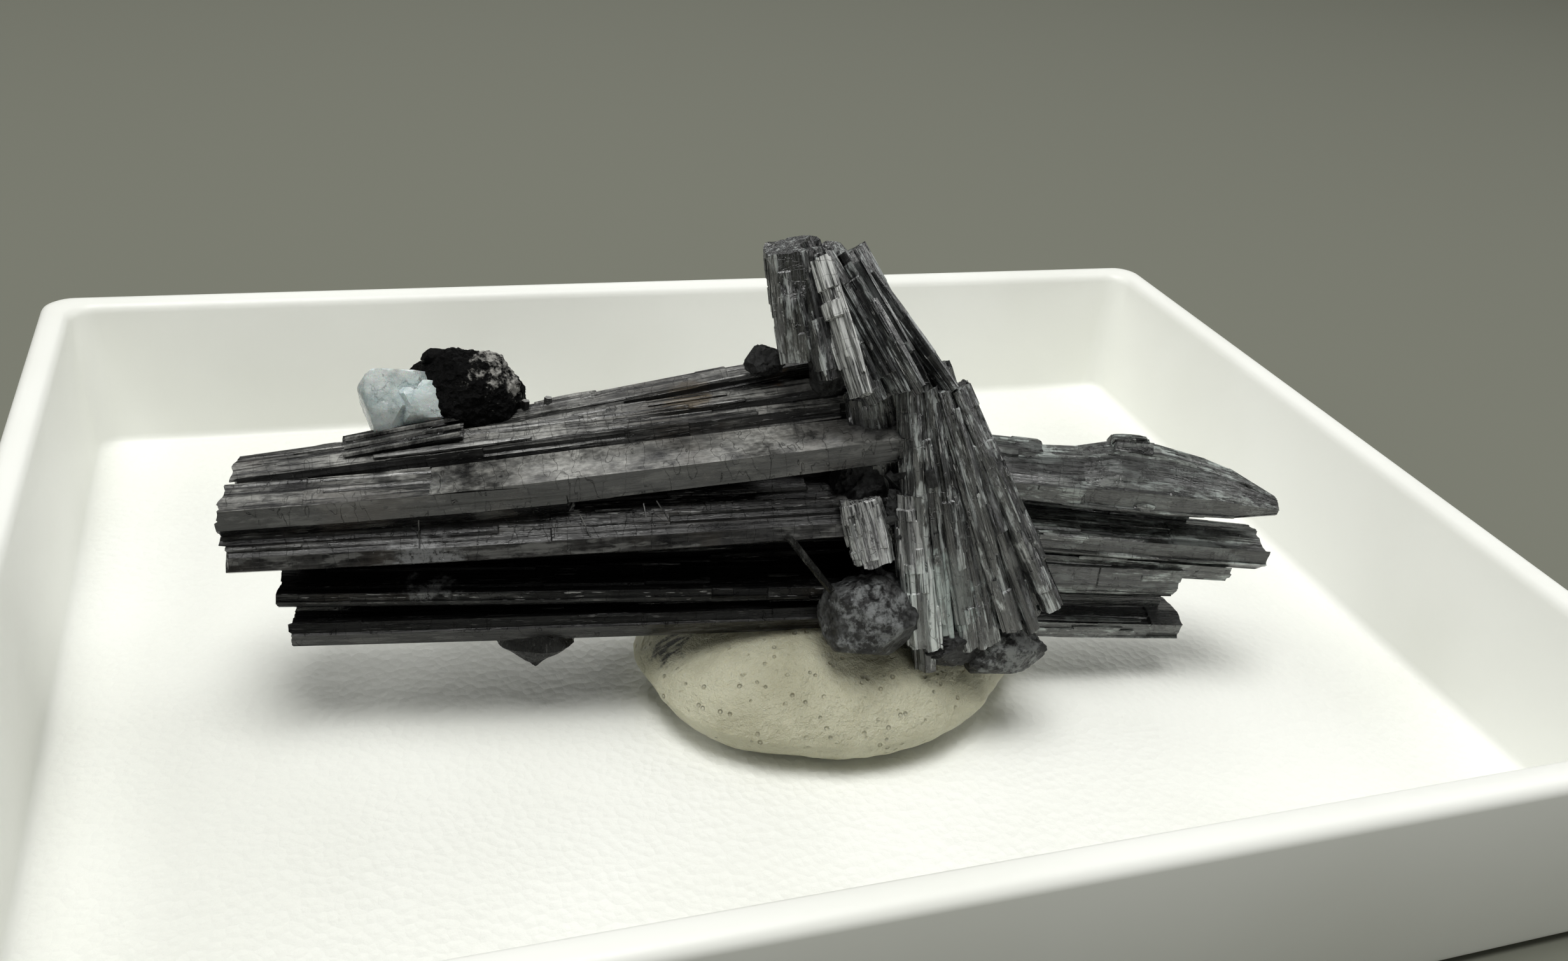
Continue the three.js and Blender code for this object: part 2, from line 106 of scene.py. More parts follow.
RIGHT_BARS = [
    bar(21, (2.0, 0.4, 12.0), (21.4, 0.4, 9.9), snap=0, bare=(1, 2), stations=POINTED_STATIONS,
        corners=[(-1.3, 0.1), (-1.2, -0.9), (-0.3, -1.5), (1.5, -1.2), (2.2, 0.3),
                 (1.2, 1.35), (-0.2, 1.1)]),
    bar(22, (3.0, 0, 10.1), (20.9, 0, 8.3), snap=0.5, bare=(2, 3),
        corners=[(-0.9, 0), (-1.0, -0.7), (-0.4, -1.3), (1.6, -1.2), (1.8, 0.0), (0.4, 0.35)]),
    bar(23, (3.0, 0, 8.9), (19.4, 0, 7.35), snap=0.4,
        corners=[(-0.7, 0), (-0.6, -0.8), (0.3, -1.1), (1.6, -0.9), (1.7, 0.0)]),
    bar(24, (3.0, 0, 8.3), (16.9, 0, 7.4), snap=0.2, bare=(2, 3),
        corners=[(-0.9, 0), (-1.1, -0.9), (-0.6, -1.7), (1.4, -1.6), (1.6, 0.0), (0.2, 0.3)]),
    bar(25, (4.0, 0, 6.2), (17.0, 0, 5.6), snap=0.2, bare=ALL_ROUND,
        corners=[(0.2, 0.2), (0.2, -1.4), (1.4, -1.5), (1.5, 0.4)]),
    bar(26, (4.0, 0, 5.2), (17.7, 0, 4.4), snap=0.15, smooth=(1,), bare=(4, 5),
        corners=[(-0.9, 0), (-0.8, -0.8), (0.3, -1.1), (1.5, -0.9), (1.5, 0.1), (0.0, 0.25)]),
    bar(27, (13.1, 1.4, 12.3), (14.9, 1.3, 12.2), wide=1.5, thick=1.4, snap=0.3),
    bar(28, (4.0, 2.2, 10.6), (17.6, 1.8, 9.2), wide=2.0, thick=2.2, snap=0.5),
    bar(29, (4.6, 1.3, 12.7), (10.0, 1.2, 12.2), wide=1.6, thick=1.1, snap=0.5),
]
# Rows of blades standing side by side across the steep crystal, fanning from top to bottom.
BLADE_ROWS = [
    dict(seed=60, count=5, top=(0.1, 2.0, 20.4), bottom=(3.2, -1.0, 15.8),
         top_span=2.7, bottom_span=2.9, wide=1.1, thick=2.7, top_tilt=-1.5, bottom_tilt=0.0),
    dict(seed=70, count=7, top=(3.9, -0.8, 16.3), bottom=(7.0, -3.8, 6.3),
         top_span=1.9, bottom_span=5.0, wide=1.25, thick=2.4, top_tilt=-0.4, bottom_tilt=2.4),
]
CROSSING_BLADES = [
    bar(31, (-1.7, 1.6, 21.1), (-0.9, 0.9, 16.8), wide=2.5, thick=2.4, square=4, snap=0.25),
    bar(32, (-0.7, 0.8, 20.8), (0.8, -2.2, 16.5), wide=1.15, thick=1.6, square=4, snap=0.15,
        worn=1.0),
    bar(33, (0.2, 2.6, 20.2), (3.4, 0.2, 15.0), wide=3.4, thick=2.2, snap=0.3),
    bar(34, (3.4, 0.4, 16.4), (7.0, -2.8, 6.0), wide=3.6, thick=2.6, sides=12, snap=0.5),
    bar(35, (3.4, -1.9, 12.2), (4.3, -4.0, 6.1), wide=1.8, thick=2.0, square=4, snap=0.3,
        worn=0.5),
    bar(36, (1.3, -1.9, 11.9), (2.0, -3.1, 9.5), wide=1.9, thick=1.7, square=4, snap=0.3,
        worn=0.45),
    bar(38, (4.6, -0.4, 16.0), (8.9, -3.0, 7.8), wide=2.2, thick=2.4, snap=0.4),
    bar(37, (1.7, 0.4, 15.6), (3.4, -1.0, 9.0), wide=2.6, thick=2.2, snap=0.4),
]
# Two more blades, in the gap beside the ridge and in the fan's last gap.
FILLING_BLADES = [
    bar(39, (-1.1, 1.3, 20.7), (0.0, -0.7, 16.6), wide=1.7, thick=1.9, square=4, snap=0.2),
    bar(40, (4.9, -0.8, 15.8), (8.6, -3.6, 7.2), wide=1.7, thick=2.0, square=4, snap=0.3),
]
# How crystals are fluted and broken. Lengths are in millimetres.
RIB_WIDTH, RIB_CHANGE = 0.36, 0.22
SLAB_WIDTH, SLAB_CHANGE = 1.5, 0.30
BREAKS, BREAK_HALF = 9, 0.03
FULL_DEPTH_FROM = 0.7
LATH_PLACES = 64
# The frequency of a rough mass's fine relief, and how many flats are cut on it.
ROUGH_FREQUENCY = 9
FLATS = 16
# The way a steep blade's front faces, to the back and up.
BLADE_FRONT = (-0.83, 0.3)


def scatter(seed, i):
    """A repeatable number between -1 and 1."""
    s = math.sin(seed * 12.9898 + i * 78.233) * 43758.5453
    return 2 * (s - math.floor(s)) - 1


def clear_selection():
    bpy.ops.object.select_all(action="DESELECT")


def edit_mode():
    bpy.ops.object.mode_set(mode="EDIT")


def object_mode():
    bpy.ops.object.mode_set(mode="OBJECT")


def read_points(obj):
    co = np.empty(len(obj.data.vertices) * 3)
    obj.data.vertices.foreach_get("co", co)
    return co.reshape(-1, 3)


def write_points(obj, co):
    obj.data.vertices.foreach_set("co", np.ascontiguousarray(co, dtype=float).ravel())
    obj.data.update()


def blades_of(row):
    """The blades of a row, each a little proud of the next or ending a little short of it."""
    blades = []
    back, up = BLADE_FRONT
    for i in range(row["count"]):
        place = i / (row["count"] - 1) - 0.5
        proud = 0.22 * scatter(row["seed"], i)
        early = 0.25 * scatter(row["seed"], i + 20)
        late = 0.3 * scatter(row["seed"], i + 40)
        top, bottom = row["top"], row["bottom"]
        blades.append(bar(
            row["seed"] + i,
            (top[0] + place * row["top_span"], top[1] + back * proud,
             top[2] + place * row["top_tilt"] + up * proud + early),
            (bottom[0] + place * row["bottom_span"], bottom[1] + back * proud,
             bottom[2] + place * row["bottom_tilt"] + up * proud + late),
            wide=row["wide"] * (1 + 0.2 * scatter(row["seed"], i + 60)),
            thick=row["thick"], square=4, snap=0.25,
        ))
    return blades


def outline_of(c):
    """The corners of a crystal's section, in millimetres across it and up it."""
    if "corners" in c:
        return c["corners"]
    outline = []
    for k in range(c["sides"]):
        turn = 2 * math.pi * (k + 0.5 + 0.22 * scatter(c["seed"], k)) / c["sides"]
        x, y = math.cos(turn), math.sin(turn)
        corner = (abs(x) ** c["square"] + abs(y) ** c["square"]) ** (-1 / c["square"])
        reach = corner * (1 - c["rib"] * (k % 2) - 0.04 * (1 + scatter(c["seed"], k + 40)))
        outline.append((reach * x * c["wide"] / 2, reach * y * c["thick"] / 2))
    return outline


def walk_round(c, columns):
    """Places evenly along the section's facets, every corner among them, with the way out."""
    outline = outline_of(c)
    sides = [(p, q, math.dist(p, q)) for p, q in zip(outline, outline[1:] + outline[:1])]
    around = sum(size for _, _, size in sides)
    counts = [max(1, int(columns * size / around)) for _, _, size in sides]
    while sum(counts) < columns:
        spare = [size / count for (_, _, size), count in zip(sides, counts)]
        counts[spare.index(max(spare))] += 1
    while sum(counts) > columns:
        counts[counts.index(max(counts))] -= 1
    places, outward, flat, bare = [], [], [], []
    for k, ((p, q, size), count) in enumerate(zip(sides, counts)):
        out = ((q[1] - p[1]) / size, (p[0] - q[0]) / size)
        for i in range(count):
            s = i / count
            places.append((p[0] + (q[0] - p[0]) * s, p[1] + (q[1] - p[1]) * s))
            outward.append(out)
            flat.append(1.0 if k in c["smooth"] else 0.0)
            bare.append(1.0 if k in c["bare"] else 0.0)
    middle = np.array(outline).mean(axis=0)
    return np.array(places), np.array(outward), np.array(flat), np.array(bare), middle, around


def section_frame(c):
    """A crystal's length, and its directions across, up and along."""
    a, b = Vector(c["a"]), Vector(c["b"])
    along = (b - a).normalized()
    lift = along.cross(Vector(c["side"])).normalized()
    across = lift.cross(along).normalized()
    return (b - a).length, np.array([across, lift, along])


def unit_prism(columns, cuts, cap_cuts):
    """A cylinder one unit long, cut into rings along its length and across its end faces."""
    clear_selection()
    bpy.ops.mesh.primitive_cylinder_add(vertices=columns, radius=1, depth=1, end_fill_type="TRIFAN")
    obj = bpy.context.object
    edit_mode()
    bpy.ops.mesh.select_all(action="DESELECT")
    object_mode()
    mesh = obj.data
    for edge in mesh.edges:
        p, q = (mesh.vertices[v].co for v in edge.vertices)
        edge.select = abs(p.z - q.z) > 0.5
    edit_mode()
    bpy.ops.mesh.select_mode(type="EDGE")
    bpy.ops.mesh.subdivide(number_cuts=cuts)
    bpy.ops.mesh.select_all(action="DESELECT")
    object_mode()
    for edge in mesh.edges:
        p, q = (mesh.vertices[v].co for v in edge.vertices)
        edge.select = abs(p.xy.length - q.xy.length) > 0.5
    edit_mode()
    bpy.ops.mesh.subdivide(number_cuts=cap_cuts)
    object_mode()
    return obj


PRISMS = {}


def prism_copy(columns, cuts, cap_cuts):
    """Modelled once for each size, then copied, each copy with its own mesh."""
    key = (columns, cuts, cap_cuts)
    if key not in PRISMS:
        PRISMS[key] = unit_prism(*key)
    source = PRISMS[key]
    copy = source.copy()
    copy.data = source.data.copy()
    bpy.context.collection.objects.link(copy)
    return copy


def crystal(c, columns=104, rib_depth=0.12):
    """A fluted crystal: flat facets, narrow ribs that break off along the length, torn ends."""
    rng = random.Random(c["seed"] * 7919)
    length, basis = section_frame(c)
    obj = prism_copy(columns, 2 * BREAKS, 3)
    co = read_points(obj)
    radius = np.hypot(co[:, 0], co[:, 1])
    theta = np.arctan2(co[:, 1], co[:, 0]) % (2 * math.pi)
    column = np.rint(theta / (2 * math.pi) * columns).astype(int) % columns
    ring = np.rint((co[:, 2] + 0.5) * (2 * BREAKS + 1)).astype(int)

    places = [0.0]
    step = 1 / (BREAKS + 1)
    for j in range(BREAKS):
        t = (j + 1 + rng.uniform(-0.42, 0.42)) * step
        half = BREAK_HALF / length
        places += [t - half, t + half]
    places.append(1.0)
    t = np.array(places)[ring]

    outline, outward, flat, bare, middle, around = walk_round(c, columns)
    # narrow ribs on slabs round the section, each with its own depth between two breaks
    fine_of = banded(rng, columns, max(8, int(around / RIB_WIDTH)))
    slab_of = banded(rng, columns, max(4, int(around / SLAB_WIDTH)))
    fine = stepped_depths(rng, fine_of.max() + 1, BREAKS + 1, RIB_CHANGE)
    slab = stepped_depths(rng, slab_of.max() + 1, BREAKS + 1, SLAB_CHANGE)
    stretch = np.clip(ring // 2, 0, BREAKS)
    fluted = 1 - 0.92 * flat
    rib = fine[fine_of[column], stretch]
    sunk = rib_depth * (rib + 1.1 * slab[slab_of[column], stretch]) * fluted[column]
    rim = radius > 0.99

    ts = [s[0] for s in c["stations"]]
    scale = np.interp(t, ts, [s[1] for s in c["stations"]])
    raised = np.interp(t, ts, [s[2] for s in c["stations"]])
    spread = np.where(rim, 1.0, radius) * scale
    offset = outline[column] - middle
    u = middle[0] + offset[:, 0] * spread
    v = middle[1] + offset[:, 1] * spread + raised
    # shallower near the section's middle, so that a thin crystal isn't cut through
    room = np.clip(np.hypot(offset[:, 0], offset[:, 1]) / FULL_DEPTH_FROM, 0, 1) * rim
    u = u - outward[column, 0] * sunk * room
    v = v - outward[column, 1] * sunk * room

    # broken ends: a few steps, with small torn teeth and pits on them
    first, last = ring == 0, ring == 2 * BREAKS + 1
    teeth = np.array([rng.uniform(-1, 1) for _ in range(fine_of.max() + 1)])[fine_of[column]]
    steps = np.array([rng.uniform(-1, 1) for _ in range(slab_of.max() + 1)])[slab_of[column]]
    pit = np.array([noise.noise(Vector((x * 1.7, y * 1.7, c["seed"] * 3.1))) for x, y in zip(u, v)])
    near_rim = np.clip(radius, 0, 1) ** 2
    cap = c["snap"] * (near_rim * (0.2 * teeth + 0.5 * steps) + 0.35 * pit)
    w = t * length
    w = np.where(first, cap + c["snap"] * 0.3, w)
    w = np.where(last, length + cap - c["snap"] * 0.3, w)

    write_points(obj, np.stack([u, v, w], 1) @ basis + np.array(c["a"]))
    grain = np.stack([u + c["seed"] * 11.3, v - c["seed"] * 7.7, w + c["seed"] * 5.1], 1)
    ridge = np.clip(1 - rib * 1.3, 0, 1) * (1 - flat[column]) + 0.75 * flat[column]
    set_marks(obj, grain, ridge, flat[column] * rim, bare[column], c["worn"])
    return obj


def banded(rng, columns, count):
    """Shares the columns out among bands of uneven width."""
    widths = np.array([rng.uniform(0.35, 1.7) for _ in range(count)])
    bounds = np.cumsum(widths) / widths.sum() * columns
    return np.minimum(np.searchsorted(bounds, np.arange(columns) + 0.5), count - 1)


def stepped_depths(rng, bands, stretches, chance):
    """A depth for every band, changing now and then from one stretch to the next."""
    depth = np.zeros((bands, stretches))
    for band in range(bands):
        level = rng.uniform(0, 1) ** 1.5
        for j in range(stretches):
            if rng.random() < chance:
                level = rng.uniform(0, 1) ** 1.3
            depth[band, j] = level
    return depth


def set_marks(obj, grain, ridge, polish, bare, worn=0.0):
    """Lays down what the materials follow: place along the grain, rib height, flatness, painted shade and
    painted highlight.
    """
    count = len(obj.data.vertices)
    marks = (("ridge", ridge), ("polish", polish), ("bare", bare), ("worn", worn))
    attributes = obj.data.attributes
    attributes.new("grain", "FLOAT_VECTOR", "POINT").data.foreach_set("vector", np.ravel(grain))
    for name, values in marks:
        attributes.new(name, "FLOAT", "POINT").data.foreach_set("value", np.ones(count) * values)


def lath(c, rng, length, width, proud):
    """One narrow splinter lying along a crystal's side."""
    full, basis = section_frame(c)
    outline, outward, flat, bare, middle, _ = walk_round(c, LATH_PLACES)
    at = rng.choice([i for i in range(LATH_PLACES) if not flat[i] or rng.random() < 0.12])
    t0 = rng.uniform(0.02, max(0.03, 0.98 - length / full))
    t1 = min(t0 + length / full, 0.98)
    ts = [s[0] for s in c["stations"]]
    ends = []
    for t in (t0, t1):
        scale = float(np.interp(t, ts, [s[1] for s in c["stations"]]))
        raised = float(np.interp(t, ts, [s[2] for s in c["stations"]]))
        x, y = middle + (outline[at] - middle) * scale
        ends.append((x, y + raised, t * full))
    normal = outward[at] @ basis[:2]
    tangent = np.cross(basis[2], normal)
    obj = prism_copy(7, 2, 1)
    co = read_points(obj)
    s = co[:, 2:3] + 0.5
    ragged = np.array([rng.uniform(-0.18, 0.18) for _ in range(len(co))])
    taper = 1 - 0.35 * np.abs(co[:, 2:3] * 2) ** 4
    points = (np.array(ends[0]) * (1 - s) + np.array(ends[1]) * s) @ basis + np.array(c["a"])
    points += tangent * co[:, 0:1] * width / 2 * taper
    points += normal * (co[:, 1:2] * taper - 0.75) * proud
    points += basis[2] * (ragged[:, None] * (np.abs(co[:, 2:3]) > 0.45) * width * 1.5)
    write_points(obj, points)
    grain = (points - np.array(c["a"])) @ basis.T + rng.uniform(0, 40)
    set_marks(obj, grain, 0.8, 0.2, bare[at] * 0.85, c["worn"])
    return obj


def sliver(start, end, width, thick, seed):
    """A thin loose rod between two points of the sheaf's frame."""
    a, b = Vector(start), Vector(end)
    along = (b - a).normalized()
    across = along.cross(Vector((0.2, 0.9, 0.3))).normalized()
    up = along.cross(across)
    obj = prism_copy(5, 2, 1)
    co = read_points(obj)
    s = co[:, 2:3] + 0.5
    points = np.array(a) * (1 - s) + np.array(b) * s
    points += np.array(across) * co[:, 0:1] * width / 2 + np.array(up) * co[:, 1:2] * thick / 2
    write_points(obj, points)
    set_marks(obj, points + seed * 7.1, 0.9, 0.9, 0.0)
    return obj


def rough_mass(seed, at, half, rough, subdivisions, lumps=((2.2, 0.10),), flat=0.0, bare=0.0,
               taper=0.0):
    """A lump: a ball pushed in and out by rounded relief, then by rough relief, with its flats
    cut, and narrowed below its middle. Each of the lumps is a frequency and a depth, and
    depths are shares of the ball's radius.
    """
    clear_selection()
    bpy.ops.mesh.primitive_ico_sphere_add(subdivisions=subdivisions, radius=1)
    obj = bpy.context.object
    co = read_points(obj)
    push = np.ones(len(co))
    for frequency, amount in lumps:
        for i, p in enumerate(co):
            q = Vector(p) * frequency + Vector((seed * 3.7, seed * 1.9, -seed * 2.3))
            push[i] += amount * noise.noise(q)
    for i, p in enumerate(co):
        q = Vector(p) * ROUGH_FREQUENCY + Vector((seed, -seed, seed * 0.5))
        push[i] += rough * noise.noise(q)
    if flat:
        rng = random.Random(seed)
        for _ in range(FLATS):
            n = np.array([rng.gauss(0, 1) for _ in range(3)])
            n /= np.linalg.norm(n)
            limit = rng.uniform(1 - flat, 1)
            along_n = (co * push[:, None]) @ n
            over = along_n > limit
            push[over] *= limit / along_n[over]
    points = co * push[:, None]
    points[:, :2] *= 1 + taper * np.minimum(points[:, 2:3], 0)
    points = points * np.array(half) + np.array(at)
    write_points(obj, points)
    set_marks(obj, points, 0.6, 0.0, bare)
    return obj


def laths_on(crystals, seed, per_crystal, longest=6.0):
    """Splinters along the sides of some crystals."""
    rng = random.Random(seed)
    made = []
    for c in crystals:
        size = math.dist(c["a"], c["b"])
        for _ in range(per_crystal):
            length = min(rng.uniform(0.6, longest), size * 0.6)
            made.append(lath(c, rng, length, rng.uniform(0.10, 0.42), rng.uniform(0.05, 0.13)))
    return made


def debris(seed, at, spread, count):
    """Crumbs and short broken rods scattered round a place."""
    rng = random.Random(seed)
    made = []
    for i in range(count):
        middle = Vector([at[k] + rng.gauss(0, 1) * spread[k] for k in range(3)])
        size = rng.uniform(0.12, 0.38)
        way = Vector([rng.gauss(0, 1) for _ in range(3)]).normalized() * size * rng.uniform(0.5, 1.6)
        made.append(sliver(middle - way, middle + way, size * 1.3, size, seed + i))
    return made


def join(objects, name):
    clear_selection()
    for obj in objects:
        obj.select_set(True)
    bpy.context.view_layer.objects.active = objects[0]
    if len(objects) > 1:
        bpy.ops.object.join()
    obj = bpy.context.object
    obj.name = name
    obj.data.name = name
    return obj


def to_world(obj, in_sheaf=True):
    """Puts a piece modelled in millimetres at its place in metres, inside its mesh."""
    move = Matrix.Scale(MM, 4)
    if in_sheaf:
        move = move @ Matrix.Translation(SHEAF_AT) @ Matrix.Rotation(SHEAF_TURN, 4, "Z")
    obj.data.transform(move)
    obj.data.update()
    return obj


def finish_piece(obj, material, node, angle=28):
    """Shades a piece, smooth all over or up to an angle, gives it its material, hangs it under the root and
    hides the part of model.glb that it stands for.
    """
    clear_selection()
    obj.select_set(True)
    bpy.context.view_layer.objects.active = obj
    if angle is None:
        bpy.ops.object.shade_smooth()
    else:
        bpy.ops.object.shade_smooth_by_angle(angle=math.radians(angle))
    obj.data.materials.clear()
    obj.data.materials.append(material)
    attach(obj, "root")
    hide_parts(node)


# -------- shader helpers
class Nodes:
    """A short way to place and join shader nodes."""

    def __init__(self, tree):
        self.tree = tree

    def put(self, value, socket):
        """Joins a value to a socket, or sets the socket to it when it is a constant."""
        if isinstance(value, bpy.types.NodeSocket):
            self.tree.links.new(value, socket)
        else:
            socket.default_value = value

    def add(self, kind, **values):
        """A new node. in_ values go to its inputs, by number or by name, and the rest are settings."""
        node = self.tree.nodes.new(kind)
        for key, value in values.items():
            if key.startswith("in_"):
                name = key[3:]
                self.put(value, node.inputs[int(name) if name.isdigit() else name.replace("_", " ")])
            else:
                setattr(node, key, value)
        return node

    def group(self, tree, **values):
        return self.add("ShaderNodeGroup", node_tree=tree, **values).outputs

    def math(self, operation, a, b=0.0):
        return self.add("ShaderNodeMath", operation=operation, in_0=a, in_1=b).outputs[0]

    def plus(self, a, b):
        return self.math("ADD", a, b)

    def minus(self, a, b):
        return self.math("SUBTRACT", a, b)

    def times(self, a, b):
        return self.math("MULTIPLY", a, b)

    def most(self, a, b):
        return self.math("MAXIMUM", a, b)

    def off_middle(self, value):
        """How far a noise lies from its middle: thin winding lines where it is near nothing."""
        return self.math("ABSOLUTE", self.minus(value, 0.5))

    def ramp(self, factor, low, high, out_low=0.0, out_high=1.0):
        """Goes smoothly from out_low to out_high as the factor goes from low to high."""
        node = self.add("ShaderNodeMapRange", interpolation_type="SMOOTHSTEP",
                        in_0=factor, in_1=low, in_2=high, in_3=out_low, in_4=out_high)
        return node.outputs[0]

    def noise(self, vector, scale, detail, roughness, distortion=0.0):
        node = self.add("ShaderNodeTexNoise", in_Vector=vector, in_Scale=scale, in_Detail=detail,
                        in_Roughness=roughness, in_Distortion=distortion)
        return node.outputs["Fac"]

    def cells(self, vector, scale):
        return self.add("ShaderNodeTexVoronoi", in_Vector=vector, in_Scale=scale).outputs["Distance"]

    def scaled(self, vector, scale):
        return self.add("ShaderNodeVectorMath", operation="MULTIPLY", in_0=vector, in_1=scale).outputs[0]

    def place(self):
        """The shaded point in the piece's own frame, in metres."""
        return self.add("ShaderNodeTexCoord").outputs["Object"]

    def height_of(self, vector):
        return self.add("ShaderNodeSeparateXYZ", in_0=vector).outputs[2]

    def facing_up(self):
        return self.height_of(self.add("ShaderNodeNewGeometry").outputs["Normal"])

    def mark(self, name, output="Fac"):
        """What set_marks laid down under this name."""
        return self.add("ShaderNodeAttribute", attribute_name=name).outputs[output]

    def patch(self, place, middle, reach, raggedness=0.5):
        node = self.group(PATCH, in_Place=place, in_Middle=middle, in_Reach=reach, in_Raggedness=raggedness)
        return node["Mask"]

    def mix(self, factor, a, b, blend="MIX"):
        node = self.add("ShaderNodeMix", data_type="RGBA", blend_type=blend)
        for name, value in (("Factor", factor), ("A", a), ("B", b)):
            for socket in node.inputs:
                if socket.name == name and socket.enabled:
                    self.put(value, socket)
        return next(s for s in node.outputs if s.enabled)


def new_group(name, inputs, outputs):
    """A shader group. Each input has a label, a kind and a value, and each output is a number."""
    tree = bpy.data.node_groups.new(name, "ShaderNodeTree")
    for label, kind, value in inputs:
        socket = tree.interface.new_socket(name=label, in_out="INPUT", socket_type=kind)
        if value is not None:
            socket.default_value = value
    for label in outputs:
        tree.interface.new_socket(name=label, in_out="OUTPUT", socket_type="NodeSocketFloat")
    n = Nodes(tree)
    return n, n.add("NodeGroupInput").outputs, n.add("NodeGroupOutput").inputs


def new_material(name):
    material = bpy.data.materials.new(name)
    material.use_nodes = True
    tree = material.node_tree
    return material, Nodes(tree), tree.nodes["Principled BSDF"]


def wire(n, shader, color, roughness, height, depth, strength=1.0, **constants):
    """Joins colour, roughness and relief, its depth in millimetres, and sets the constants."""
    n.put(color, shader.inputs["Base Color"])
    n.put(roughness, shader.inputs["Roughness"])
    relief = n.add("ShaderNodeBump", in_Height=height, in_Strength=strength, in_Distance=depth * MM)
    n.put(relief.outputs[0], shader.inputs["Normal"])
    for name, value in constants.items():
        shader.inputs[name.replace("_", " ")].default_value = value


def striation_group():
    """Lines along a crystal: dark grooves, fine hair lines, short marks where glints are painted, cracks.
    """
    n, gin, gout = new_group(
        "lengthwise striation",
        [("Grain", "NodeSocketVector", None), ("Polish", "NodeSocketFloat", 0.0)],
        ("Height", "Grooves", "Lines", "Dashes", "Cracks"),
    )
    grain = gin["Grain"]
    rough = n.minus(1.0, gin["Polish"])
    long_lines = n.noise(n.scaled(grain, (3.4, 3.4, 0.16)), 1.0, 4, 0.6)
    fine_lines = n.noise(n.scaled(grain, (10.0, 10.0, 0.5)), 1.0, 4, 0.62)
    short_lines = n.noise(n.scaled(grain, (13.0, 13.0, 1.3)), 1.0, 3, 0.55)
    crack_noise = n.noise(n.scaled(grain, (0.5, 0.5, 1.5)), 1.0, 2, 0.5, 0.3)
    cracks = n.ramp(n.off_middle(crack_noise), 0.002, 0.007, 1.0, 0.0)
    height = n.plus(n.times(long_lines, 0.7), n.times(fine_lines, 0.4))
    height = n.times(height, n.plus(n.times(rough, 0.9), 0.1))
    n.put(n.minus(height, n.times(cracks, 0.3)), gout["Height"])
    n.put(n.times(n.ramp(long_lines, 0.41, 0.47, 1.0, 0.0), rough), gout["Grooves"])
    n.put(fine_lines, gout["Lines"])
    n.put(n.times(n.ramp(short_lines, 0.61, 0.66), rough), gout["Dashes"])
    n.put(cracks, gout["Cracks"])
    return n.tree


def up_and_spots_group():
    """How far a surface faces up, which sets where sheen is painted, and fine spots and wide blotches."""
    n, gin, gout = new_group("up and spots", [("Place", "NodeSocketVector", None)],
                             ("Up", "Spots", "Blotches"))
    n.put(n.ramp(n.facing_up(), 0.0, 0.7), gout["Up"])
    n.put(n.noise(gin["Place"], 520.0, 5, 0.65), gout["Spots"])
    n.put(n.noise(gin["Place"], 260.0, 4, 0.6), gout["Blotches"])
    return n.tree


def patch_group():
    """A soft ragged patch round a place, in metres."""
    n, gin, gout = new_group(
        "ragged patch",
        [("Place", "NodeSocketVector", None), ("Middle", "NodeSocketVector", (0.0, 0.0, 0.0)),
         ("Reach", "NodeSocketFloat", 0.003), ("Raggedness", "NodeSocketFloat", 0.5)],
        ("Mask",),
    )
    offset = n.add("ShaderNodeVectorMath", operation="SUBTRACT", in_0=gin["Place"], in_1=gin["Middle"])
    away = n.add("ShaderNodeVectorMath", operation="LENGTH", in_0=offset.outputs[0]).outputs["Value"]
    ragged = n.times(n.minus(n.noise(gin["Place"], 1400.0, 5, 0.65), 0.5), gin["Raggedness"])
    near = n.plus(n.math("DIVIDE", away, gin["Reach"]), n.times(ragged, 4.0))
    n.put(n.ramp(near, 0.7, 1.05, 1.0, 0.0), gout["Mask"])
    return n.tree


STRIATION = striation_group()
UP_AND_SPOTS = up_and_spots_group()
PATCH = patch_group()

# -------- black tourmaline
GROOVE_AND_SHADE_BLACK = (0.0035, 0.0035, 0.0036, 1)
GLINT_GREY = (0.34, 0.34, 0.33, 1)
HIGHLIGHT_GREY = (0.66, 0.67, 0.65, 1)


def grey(level):
    return (level, level, level, 1)


